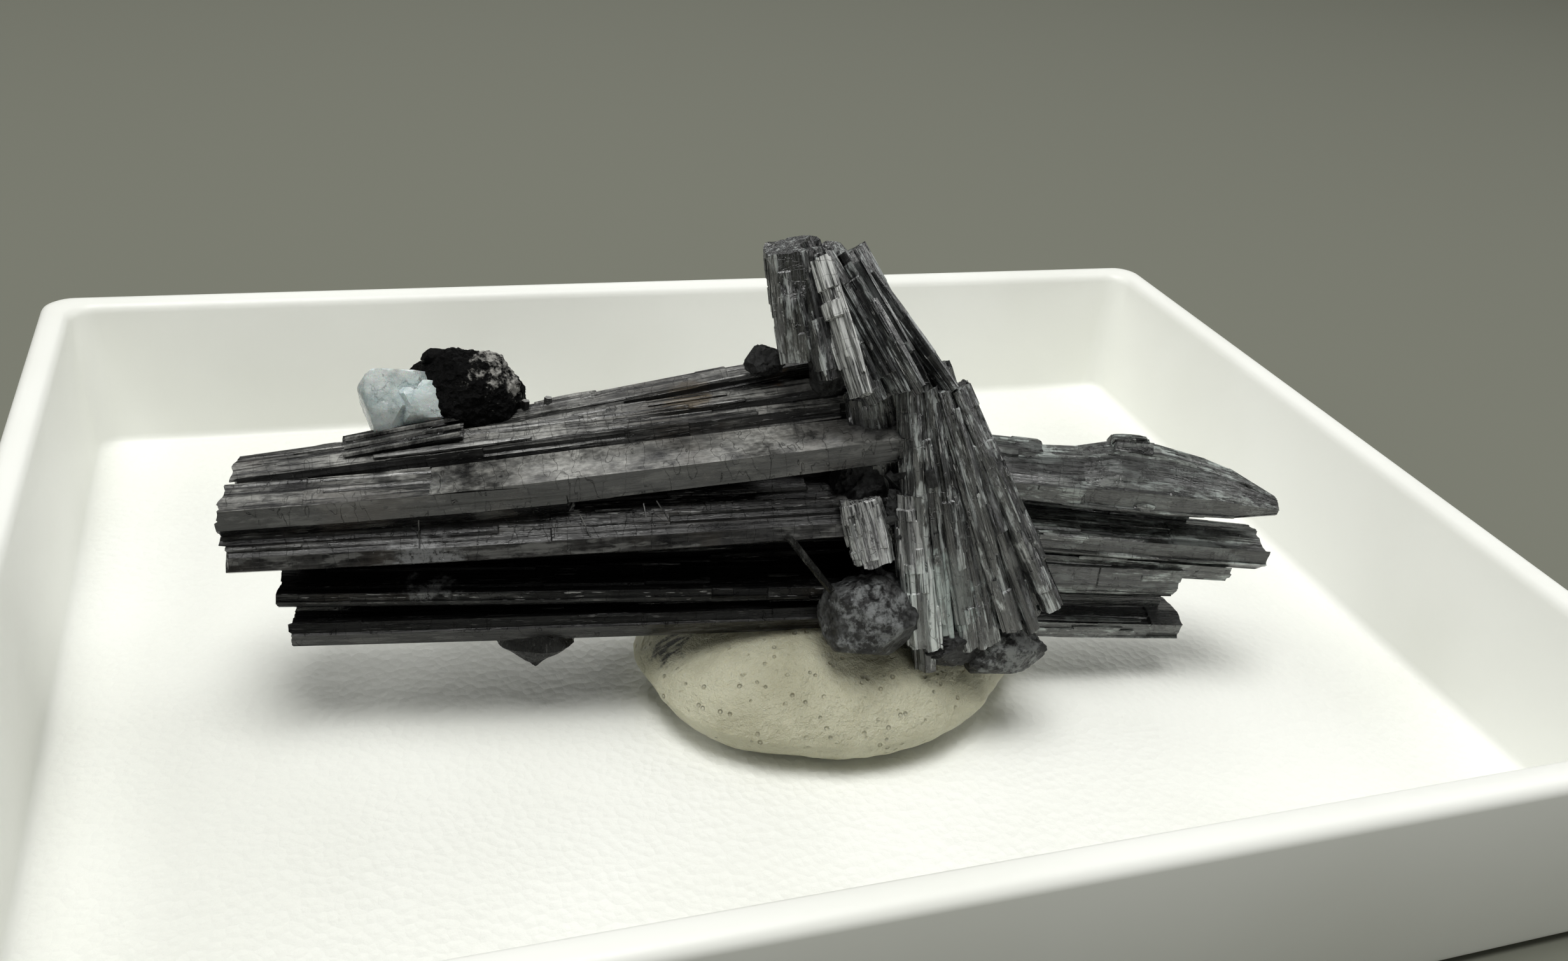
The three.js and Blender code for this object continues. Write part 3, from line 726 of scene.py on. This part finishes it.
def schorl_material(name, side_tone, sheen_top_tone, stain, sheen_streaks, bump, shine, glints,
                    rough=(0.20, 0.42), patches=(), crusts=()):
    """Satin facets with their upward faces painted lighter for sheen, black grooves, painted shade in
    sunk ribs and shaded faces, painted highlights on some blades and short painted glints.

    stain is a tone and its amount. The painted sheen streaks are a tone, their amount and the sizes
    of their cloud pattern across and along the crystal, and bump the relief's depth, in millimetres.
    rough is the roughness in the hair lines and between them. The top tone is painted sheen on faces
    turned up, and the glint amount sets how strong the painted glints are. A patch or crust is a
    place, its reach and a tone, and patches lie under the grooves' black and crusts over it.
    """
    material, n, shader = new_material(name)
    place = n.place()
    grain = n.mark("grain", "Vector")
    ridge, polish, bare, worn = (n.mark(key) for key in ("ridge", "polish", "bare", "worn"))
    lines = n.group(STRIATION, in_Grain=grain, in_Polish=polish)
    up_and_spots = n.group(UP_AND_SPOTS, in_Place=place)

    # painted sheen: faces turned up take the lighter top tone, in spots, for the light they catch
    color = n.mix(n.times(up_and_spots["Up"], n.ramp(up_and_spots["Spots"], 0.30, 0.60)), side_tone, sheen_top_tone)
    speck = n.noise(place, 3600.0, 4, 0.7)
    mottle = n.times(n.ramp(up_and_spots["Spots"], 0.34, 0.66, 0.55, 1.35), n.ramp(speck, 0.35, 0.65, 0.65, 1.35))
    mottle = n.add("ShaderNodeCombineColor", in_0=mottle, in_1=mottle, in_2=mottle).outputs[0]
    color = n.mix(1.0, color, mottle, "MULTIPLY")
    tint, amount = stain
    color = n.mix(n.times(n.ramp(up_and_spots["Blotches"], 0.50, 0.64), amount), color, tint)
    # painted sheen: pale streaks drawn out along the grain stand in for the satin reflection on the facets
    tint, amount, across, along = sheen_streaks
    sheen_clouds = n.noise(n.scaled(grain, (1 / across, 1 / across, 1 / along)), 1.0, 5, 0.65)
    color = n.mix(n.times(n.ramp(sheen_clouds, 0.50, 0.60), amount), color, tint)
    for middle, reach, tone in patches:
        color = n.mix(n.times(n.patch(place, middle, reach), 0.85), color, tone)
    # painted highlight: marked blades, the front rib most, are painted pale grey in streaks for the light
    # on them
    color = n.mix(n.times(worn, n.ramp(lines["Lines"], 0.40, 0.60, 0.35, 1.0)), color, HIGHLIGHT_GREY)

    hair_lines = n.times(n.ramp(lines["Lines"], 0.38, 0.50, 0.95, 0.0), n.minus(1.0, n.times(polish, 0.75)))
    # painted shade: deep ribs, where the ridge mark is low, are painted near black for the shade in them
    dark = n.most(n.times(n.ramp(ridge, 0.12, 0.55, 1.0, 0.0), 0.85), lines["Grooves"])
    # painted shade: faces marked for it are painted black for the shade that falls on them
    dark = n.most(dark, n.times(bare, 0.97))
    dark = n.most(dark, n.times(lines["Cracks"], 0.5))
    dark = n.most(dark, hair_lines)
    dark = n.most(dark, n.ramp(n.cells(place, 620.0), 0.05, 0.09, 0.9, 0.0))
    # the black is both the grooves' own colour and painted shade
    color = n.mix(n.times(dark, 0.93), color, GROOVE_AND_SHADE_BLACK)
    for middle, reach, tone in crusts:
        color = n.mix(n.times(n.patch(place, middle, reach), n.ramp(speck, 0.36, 0.52)), color, tone)
    # painted glints: short pale marks on raised ribs, weaker on faces painted for shade
    lit = n.times(lines["Dashes"], n.ramp(ridge, 0.35, 0.75))
    lit = n.times(lit, n.minus(1.0, n.times(bare, 0.8)))
    color = n.mix(n.times(lit, glints), color, GLINT_GREY)

    in_lines, between = rough
    dull = n.ramp(lines["Lines"], 0.35, 0.65, in_lines, between)
    dull = n.minus(dull, n.times(polish, 0.06))
    wire(n, shader, color, dull, lines["Height"], bump, IOR=1.64, Specular_IOR_Level=shine)
    return material


def granular_material(name, deep, shallow, lit_at, lit_reach, lit_tone, shine, depth):
    """A rough black mineral, with one ragged patch where the light catches paler flakes."""
    material, n, shader = new_material(name)
    place = n.place()
    rubble = n.noise(place, 2200.0, 6, 0.7)
    color = n.mix(n.ramp(rubble, 0.40, 0.65), deep, shallow)
    lit = n.times(n.patch(place, lit_at, lit_reach, 0.9), n.ramp(rubble, 0.42, 0.60))
    color = n.mix(n.times(lit, 0.85), color, lit_tone)
    height = n.plus(n.times(n.cells(place, 3600.0), 0.6), rubble)
    wire(n, shader, color, n.ramp(rubble, 0.3, 0.7, 0.30, 0.65), height, depth, Specular_IOR_Level=shine)
    return material


def in_box(along, deep, up):
    """A point of the sheaf's frame, as metres in the box's frame."""
    p = Matrix.Rotation(SHEAF_TURN, 4, "Z") @ Vector((along, deep, up)) + SHEAF_AT
    return tuple(p * MM)


GREY_PATCH = (in_box(-15.3, -2.3, 8.9), 0.0015, (0.12, 0.122, 0.122, 1))
RUST_PATCH = (in_box(-1.6, 2.2, 15.4), 0.0006, (0.16, 0.09, 0.04, 1))
OCHRE_PATCH = (in_box(-5.2, 1.9, 14.6), 0.0010, (0.115, 0.092, 0.062, 1))
TEAL_PATCH = (in_box(4.2, -4.6, 8.2), 0.0022, (0.36, 0.42, 0.40, 1))
PALE_FLAKES = (in_box(7.9, -3.3, 10.2), 0.0008, (0.50, 0.52, 0.50, 1))

left_black = schorl_material(
    "schorl left sheaf", side_tone=grey(0.009), sheen_top_tone=(0.20, 0.199, 0.186, 1),
    stain=((0.055, 0.047, 0.040, 1), 0.6), sheen_streaks=((0.20, 0.20, 0.19, 1), 0.3, 1.1, 3.6),
    bump=0.08, shine=0.4, glints=0.55, patches=(RUST_PATCH, OCHRE_PATCH))
middle_black = schorl_material(
    "schorl middle bar", side_tone=grey(0.012), sheen_top_tone=(0.030, 0.029, 0.027, 1),
    stain=((0.025, 0.021, 0.017, 1), 0.6), sheen_streaks=((0.20, 0.20, 0.19, 1), 0.35, 0.5, 1.8),
    bump=0.09, shine=0.27, glints=0.8, crusts=(GREY_PATCH,))
lower_black = schorl_material(
    "schorl lower bars", side_tone=grey(0.003), sheen_top_tone=(0.016, 0.016, 0.015, 1),
    stain=((0.020, 0.016, 0.012, 1), 0.6), sheen_streaks=((0.12, 0.12, 0.115, 1), 0.3, 0.4, 2.4),
    bump=0.09, shine=0.12, glints=0.7, crusts=(GREY_PATCH,))
right_black = schorl_material(
    "schorl right sheaf", side_tone=(0.055, 0.060, 0.055, 1), sheen_top_tone=(0.15, 0.162, 0.148, 1),
    stain=((0.012, 0.013, 0.012, 1), 0.8), sheen_streaks=((0.40, 0.445, 0.42, 1), 0.8, 0.6, 1.5),
    bump=0.09, shine=0.7, rough=(0.18, 0.42), glints=0.7)
crossing_black = schorl_material(
    "schorl crossing crystal", side_tone=(0.016, 0.017, 0.017, 1), sheen_top_tone=(0.055, 0.058, 0.058, 1),
    stain=(grey(0.008), 0.6), sheen_streaks=((0.46, 0.49, 0.48, 1), 0.75, 0.45, 1.6),
    bump=0.12, shine=1.0, rough=(0.12, 0.36), glints=0.9, patches=(TEAL_PATCH, PALE_FLAKES))
knob_black = granular_material(
    "schorl knob", deep=grey(0.008), shallow=(0.06, 0.062, 0.062, 1), shine=0.3, depth=0.12,
    lit_at=in_box(1.7, -4.7, 8.3), lit_reach=0.0016, lit_tone=(0.17, 0.178, 0.178, 1))
matrix_black = granular_material(
    "schorl rough matrix", deep=grey(0.004), shallow=(0.035, 0.036, 0.036, 1), shine=0.3, depth=0.14,
    lit_at=in_box(8.2, -4.3, 5.9), lit_reach=0.0015, lit_tone=(0.20, 0.21, 0.205, 1))

# -------- the black crystals' pieces
HANGING_HAIRS = (
    ((-7.2, -1.9, 11.7), (-7.1, -2.1, 11.2)), ((-6.7, -1.9, 11.8), (-6.2, -2.2, 11.1)),
    ((-15.6, -1.9, 11.0), (-15.6, -2.1, 10.3)), ((-9.6, -1.9, 11.2), (-9.2, -2.2, 10.4)),
)
UPRIGHT_CHIPS = ((-11.6, 3.1, 13.2), (-10.7, 3.2, 13.3))
LEANING_SPLINTER = ((-1.5, -2.8, 10.6), (0.3, -3.4, 8.5))


def left_sheaf():
    """The upper bars, three rods and two chips on top, and hairs over their front edge."""
    parts = [crystal(c) for c in UPPER_LEFT_BARS] + laths_on(UPPER_LEFT_BARS, 5, 8)
    for k in range(3):
        deep, up = 0.5 * k, 0.08 * k
        parts.append(sliver((-18.5, 0.95 + deep, 12.2 + up), (-14.1, 0.9 + deep, 13.2 + up), 0.16, 0.2, k))
    parts += [sliver(start, end, 0.06, 0.06, 9) for start, end in HANGING_HAIRS]
    parts += [sliver((u, v, z), (u + 0.02, v, z + 0.34), 0.34, 0.3, 6) for u, v, z in UPRIGHT_CHIPS]
    return to_world(join(parts, "left_sheaf"))


def left_middle_bar():
    parts = [crystal(c) for c in MIDDLE_LEFT_BARS] + laths_on(MIDDLE_LEFT_BARS, 15, 12, longest=3.0)
    return to_world(join(parts, "left_middle_bar"))


def left_lower_bars():
    """The lowest bars, a broken spike under them and a splinter leaning on the junction."""
    parts = [crystal(c) for c in LOWER_LEFT_BARS] + laths_on(LOWER_LEFT_BARS, 16, 8)
    parts.append(rough_mass(42, (-11.2, -1.2, 4.9), (1.6, 1.1, 1.5), 0.05, 4,
                            flat=0.2, bare=1.0, taper=0.85))
    parts.append(sliver(*LEANING_SPLINTER, 0.35, 0.25, 4))
    return to_world(join(parts, "left_lower_bars"))


def right_sheaf():
    parts = [crystal(c, rib_depth=0.10) for c in RIGHT_BARS] + laths_on(RIGHT_BARS, 6, 7)
    return to_world(join(parts, "right_sheaf"))


def crossing_crystal():
    """The steep crystal's single blades, its rows of blades, and a rough mass behind its top."""
    blades = CROSSING_BLADES + [blade for row in BLADE_ROWS for blade in blades_of(row)] + FILLING_BLADES
    blades = [dict(blade, side=ALONG_SHEAF) for blade in blades]
    parts = [crystal(c, columns=76, rib_depth=0.13) for c in blades]
    parts += laths_on(blades, 7, 6, longest=4.0)
    parts.append(rough_mass(46, (-0.1, 1.8, 20.2), (1.3, 0.8, 1.0), 0.08, 5,
                            ((2.2, 0.15), (5.0, 0.1)), flat=0.3))
    return to_world(join(parts, "crossing_crystal"))


def rough_matrix():
    """Broken-up mineral in the junction and at the steep crystal's lower end, and its crumbs."""
    parts = [
        rough_mass(43, (7.7, -3.6, 5.5), (2.1, 1.2, 1.2), 0.10, 5, ((2.2, 0.1), (5.0, 0.12)), flat=0.3),
        rough_mass(48, (5.5, -3.9, 6.1), (1.5, 0.9, 0.9), 0.12, 5, ((2.2, 0.15), (5.0, 0.12)), flat=0.3),
        rough_mass(44, (-2.2, 2.2, 15.9), (0.85, 0.7, 0.65), 0.12, 5, ((2.2, 0.2), (5.0, 0.1)), flat=0.3),
        rough_mass(47, (0.0, 0.4, 16.5), (0.9, 0.8, 1.2), 0.12, 5, flat=0.3),
        rough_mass(45, (2.2, 0.0, 11.0), (1.9, 1.5, 2.6), 0.14, 5, flat=0.2),
    ]
    parts += debris(3, (3.0, -1.9, 11.6), (0.5, 0.5, 1.6), 34)
    parts += debris(4, (3.1, -1.0, 15.2), (0.5, 0.4, 0.5), 12)
    return to_world(join(parts, "rough_matrix"))


def knob():
    """The round knob on the junction's front."""
    lumps = ((1.4, 0.16), (3.5, 0.08), (7.0, 0.03))
    ball = rough_mass(41, (2.0, -3.4, 7.2), (2.1, 1.9, 1.8), 0.04, 6, lumps, flat=0.18)
    return to_world(join([ball], "knob"))


for piece, look in (
    (left_sheaf(), left_black), (left_middle_bar(), middle_black), (left_lower_bars(), lower_black),
    (right_sheaf(), right_black), (crossing_crystal(), crossing_black), (rough_matrix(), matrix_black),
):
    finish_piece(piece, look, "schorl_cluster")
finish_piece(knob(), knob_black, "schorl_cluster", angle=60)


# -------- pale crystal and granular lump
def pale_crystal():
    """A blocky crystal in two lobes."""
    parts = [
        rough_mass(51, (-16.4, 3.2, 13.4), (1.9, 1.25, 2.3), 0.02, 5, ((1.6, 0.10),), flat=0.48),
        rough_mass(53, (-15.5, 2.7, 13.5), (1.9, 0.9, 1.5), 0.02, 4, ((1.6, 0.10),), flat=0.48),
    ]
    return to_world(join(parts, "pale_crystal_piece"))


def granular_lump():
    """A round lump with a small nub on its shoulder."""
    parts = [
        rough_mass(52, (-14.0, 3.7, 13.35), (2.3, 1.75, 2.1), 0.03, 6,
                   ((1.8, 0.12), (5.0, 0.05), (22.0, 0.035))),
        rough_mass(54, (-15.2, 3.9, 15.1), (0.55, 0.4, 0.35), 0.10, 4, flat=0.4),
    ]
    return to_world(join(parts, "granular_lump_piece"))


def pale_material():
    """A cloudy, slightly see-through mineral with grey veins."""
    material, n, shader = new_material("pale crystal")
    place = n.place()
    cloud = n.noise(place, 700.0, 6, 0.65)
    flaw = n.noise(place, 2400.0, 4, 0.7)
    color = n.mix(n.ramp(cloud, 0.38, 0.64), (0.42, 0.50, 0.50, 1), (0.88, 0.95, 0.93, 1))
    color = n.mix(n.ramp(flaw, 0.60, 0.70), color, (0.92, 0.95, 0.94, 1))
    vein = n.off_middle(n.noise(place, 900.0, 4, 0.6))
    color = n.mix(n.ramp(vein, 0.004, 0.014, 0.6, 0.0), color, (0.20, 0.25, 0.25, 1))
    wire(n, shader, color, n.ramp(flaw, 0.3, 0.7, 0.18, 0.45), cloud, 0.1, strength=0.8,
         Transmission_Weight=0.35, IOR=1.57, Subsurface_Weight=0.2, Subsurface_Scale=0.001)
    return material


lump_black = granular_material(
    "granular black mineral", deep=grey(0.001), shallow=grey(0.003), shine=0.08, depth=0.22,
    lit_at=in_box(-12.2, 3.6, 15.4), lit_reach=0.0016, lit_tone=(0.46, 0.45, 0.42, 1))
finish_piece(pale_crystal(), pale_material(), "pale_crystal", angle=22)
finish_piece(granular_lump(), lump_black, "granular_lump", angle=35)

# -------- the putty pad
# In the box's frame, millimetres.
PAD_AT = (1.6, -4.3)
PAD_HALF = (8.7, 6.1)
PAD_TOP = 5.9
PAD_LUMPS = ((0.45, 0.16), (1.7, 0.05), (6.0, 0.018))
SMUDGE = ((-0.0056, -0.0043, 0.0040), 0.0010)


def putty_pad():
    """A squeezed ball of putty, flat on the tray's floor and bulging over its own foot."""
    clear_selection()
    bpy.ops.mesh.primitive_ico_sphere_add(subdivisions=7, radius=1)
    obj = bpy.context.object
    co = read_points(obj)
    x, y, z = co[:, 0], co[:, 1], co[:, 2]
    turn = np.arctan2(y, x)
    uneven = 1 + 0.035 * np.sin(3 * turn + 0.6) + 0.02 * np.cos(5 * turn)
    bulge = np.where(z > 0, 1 - 0.08 * z, 1 + 0.1 * z)
    px = PAD_AT[0] + x * uneven * bulge * PAD_HALF[0]
    py = PAD_AT[1] + y * uneven * bulge * PAD_HALF[1]
    pz = np.maximum(FLOOR_TOP, FLOOR_TOP + (PAD_TOP - FLOOR_TOP) * (0.36 + 0.64 * z))
    points = np.stack([px, py, pz], 1)
    relief = np.array([
        sum(amount * noise.noise(Vector(p) * frequency) for frequency, amount in PAD_LUMPS)
        for p in points
    ])
    normal = np.stack([x, y, z * 1.3], 1)
    normal /= np.linalg.norm(normal, axis=1)[:, None]
    lifted = (pz > FLOOR_TOP + 1e-6)[:, None]
    points = points + normal * relief[:, None] * lifted
    points[:, 2] = np.maximum(points[:, 2], FLOOR_TOP)
    write_points(obj, points)
    return to_world(join([obj], "putty_pad"), in_sheaf=False)


def putty_material():
    """Soft cream putty with fine pores, specks of dirt and one dark smudge."""
    material, n, shader = new_material("mineral putty")
    place = n.place()
    tone = n.noise(place, 220.0, 4, 0.6)
    color = n.mix(n.ramp(tone, 0.35, 0.65), (0.42, 0.405, 0.29, 1), (0.53, 0.516, 0.388, 1))
    field = n.ramp(n.noise(place, 700.0, 3, 0.6), 0.45, 0.62)
    pores = n.times(n.ramp(n.cells(place, 2300.0), 0.12, 0.26, 1.0, 0.0), field)
    color = n.mix(n.times(pores, 0.25), color, (0.34, 0.32, 0.24, 1))
    dirt = n.ramp(n.cells(place, 620.0), 0.03, 0.06, 1.0, 0.0)
    color = n.mix(n.times(dirt, 0.75), color, (0.09, 0.085, 0.07, 1))
    brushed = n.ramp(n.noise(n.scaled(place, (900.0, 3200.0, 900.0)), 1.0, 4, 0.6), 0.42, 0.56)
    color = n.mix(n.times(n.patch(place, *SMUDGE), brushed), color, (0.045, 0.045, 0.04, 1))
    height = n.minus(n.noise(place, 1800.0, 5, 0.7), n.times(pores, 0.8))
    wire(n, shader, color, n.ramp(tone, 0.3, 0.7, 0.34, 0.52), height, 0.34, Subsurface_Weight=0.25,
         Subsurface_Radius=(1.0, 0.8, 0.5), Subsurface_Scale=0.0012)
    return material


finish_piece(putty_pad(), putty_material(), "mineral_tack", angle=None)

# -------- the white box
# In its own frame, millimetres. Walls lean out by the draft from foot to rim.
INSIDE = (60.0, 44.5)
WALL = 1.4
DRAFT = 0.36
WALL_TOP = 9.0
CORNER = 1.2
EDGE = 0.5
EDGE_STEPS = 4


def tray():
    """The tray: its footprint drawn up through the outer wall, over the rim and down inside."""
    foot = tuple(size + 2 * WALL for size in INSIDE)
    rim = tuple(size + 2 * DRAFT for size in foot)
    mouth = tuple(size + 2 * DRAFT for size in INSIDE)
    turns = [i * math.pi / 2 / EDGE_STEPS for i in range(EDGE_STEPS + 1)]
    rounds = [(EDGE * (1 - math.sin(t)), EDGE * (1 - math.cos(t))) for t in turns]
    path = [(foot, inset, rise) for inset, rise in rounds]
    path += [(rim, inset, WALL_TOP - rise) for inset, rise in reversed(rounds)]
    path += [(mouth, -inset, WALL_TOP - rise) for inset, rise in rounds[1:]]
    path += [(INSIDE, inset, FLOOR_TOP + rise) for inset, rise in reversed(rounds)]
    sizes = [((size[0] - 2 * inset, size[1] - 2 * inset), z) for size, inset, z in path]
    clear_selection()
    start = sizes[0][0]
    bpy.ops.mesh.primitive_plane_add(size=1, location=(0, 0, 0))
    obj = bpy.context.object
    bpy.ops.transform.resize(value=(start[0], start[1], 1))
    bpy.ops.object.transform_apply(location=True, rotation=True, scale=True)
    edit_mode()
    bpy.ops.mesh.select_all(action="SELECT")
    bpy.ops.mesh.bevel(offset=CORNER, segments=8, affect="VERTICES")
    bpy.ops.mesh.select_mode(type="FACE")
    bpy.ops.mesh.select_all(action="SELECT")
    for (before, low), (after, high) in zip(sizes, sizes[1:]):
        bpy.ops.mesh.extrude_region_move(TRANSFORM_OT_translate={"value": (0, 0, high - low)})
        wider = (after[0] / before[0], after[1] / before[1], 1)
        bpy.ops.transform.resize(value=wider, center_override=(0, 0, high))
    bpy.ops.mesh.select_all(action="SELECT")
    bpy.ops.mesh.normals_make_consistent(inside=False)
    object_mode()
    return to_world(join([obj], "tray"), in_sheaf=False)


def plastic_material():
    """White moulded plastic, with a fine leather grain on the floor inside only."""
    material, n, shader = new_material("white box plastic")
    place = n.place()
    tone = n.noise(place, 60.0, 3, 0.5)
    color = n.mix(n.ramp(tone, 0.35, 0.65), (0.86, 0.868, 0.815, 1), (0.91, 0.918, 0.872, 1))
    on_floor = n.times(n.ramp(n.facing_up(), 0.8, 0.95), n.ramp(n.height_of(place), 0.002, 0.003, 1.0, 0.0))
    ripple = n.noise(place, 3000.0, 3, 0.6)
    leather = n.times(n.plus(n.cells(place, 2600.0), n.times(ripple, 0.6)), on_floor)
    wire(n, shader, color, n.ramp(ripple, 0.3, 0.7, 0.38, 0.52), leather, 0.07, strength=0.7)
    return material


finish_piece(tray(), plastic_material(), "box_base", angle=35)

for source in PRISMS.values():
    bpy.data.objects.remove(source)

# -------- floor, lights, camera
# Places and sizes in metres.
FLOOR_TONE = (0.165, 0.17, 0.135, 1)
LAMP_TONE = (1.0, 1.0, 0.98)
SKY_TONE = (0.92, 0.96, 1.0, 1)
SKY_POWER = 0.022
# name, place, what it aims at, size and power
LAMPS = (
    ("overhead", (-0.04, -0.05, 0.38), (0, 0, 0), (0.20, 0.20), 1.25),
    ("low back", (0.08, 0.32, 0.17), (0, 0, 0.01), (0.30, 0.06), 0.13),
    ("left panel", (-0.36, 0.04, 0.26), (0, 0, 0), (0.24, 0.24), 0.50),
    ("right panel", (0.36, 0.04, 0.26), (0, 0, 0), (0.24, 0.24), 0.44),
    ("low front", (0.12, -0.36, 0.13), (0, 0, 0.01), (0.15, 0.09), 0.17),
)
YAW, PITCH, ROLL = (math.radians(a) for a in (21.19, 29.52, 6.40))
CAMERA_AT = Vector((-19.08, -49.62, 39.4)) * MM
FOCAL_PIXELS = 2191
FRAME_PIXELS = 2464
SENSOR_WIDTH = 36


def stage_floor():
    """The matt surface that the box stands on, just below its underside."""
    clear_selection()
    bpy.ops.mesh.primitive_plane_add(size=6, location=(0, 1.5, -0.0002))
    obj = bpy.context.object
    obj.name = "floor"
    material, _, shader = new_material("pale floor")
    shader.inputs["Base Color"].default_value = FLOOR_TONE
    shader.inputs["Roughness"].default_value = 0.8
    obj.data.materials.append(material)
    return obj


floor = stage_floor()


def area_light(name, at, aim, size, power):
    data = bpy.data.lights.new(name, "AREA")
    data.shape = "RECTANGLE"
    data.size, data.size_y = size
    data.energy = power
    data.color = LAMP_TONE
    light = bpy.data.objects.new(name, data)
    bpy.context.collection.objects.link(light)
    light.location = at
    light.rotation_euler = (Vector(aim) - Vector(at)).to_track_quat("-Z", "Y").to_euler()


def place_camera():
    forward = Vector((math.sin(YAW) * math.cos(PITCH), math.cos(YAW) * math.cos(PITCH), -math.sin(PITCH)))
    level = Vector((math.cos(YAW), -math.sin(YAW), 0))
    upright = level.cross(forward)
    right_hand = math.cos(ROLL) * level + math.sin(ROLL) * upright
    up_hand = -math.sin(ROLL) * level + math.cos(ROLL) * upright
    data = bpy.data.cameras.new("camera")
    data.sensor_width = SENSOR_WIDTH
    data.lens = SENSOR_WIDTH * FOCAL_PIXELS / FRAME_PIXELS
    data.clip_start = 0.002
    camera = bpy.data.objects.new("camera", data)
    bpy.context.collection.objects.link(camera)
    placing = Matrix((right_hand, up_hand, -forward)).transposed().to_4x4()
    placing.translation = CAMERA_AT
    camera.matrix_world = placing
    bpy.context.scene.camera = camera


for lamp in LAMPS:
    area_light(*lamp)
place_camera()

world = bpy.context.scene.world or bpy.data.worlds.new("studio")
bpy.context.scene.world = world
world.use_nodes = True
background = world.node_tree.nodes["Background"]
background.inputs[0].default_value = SKY_TONE
background.inputs[1].default_value = SKY_POWER
bpy.context.scene.view_settings.view_transform = "Standard"
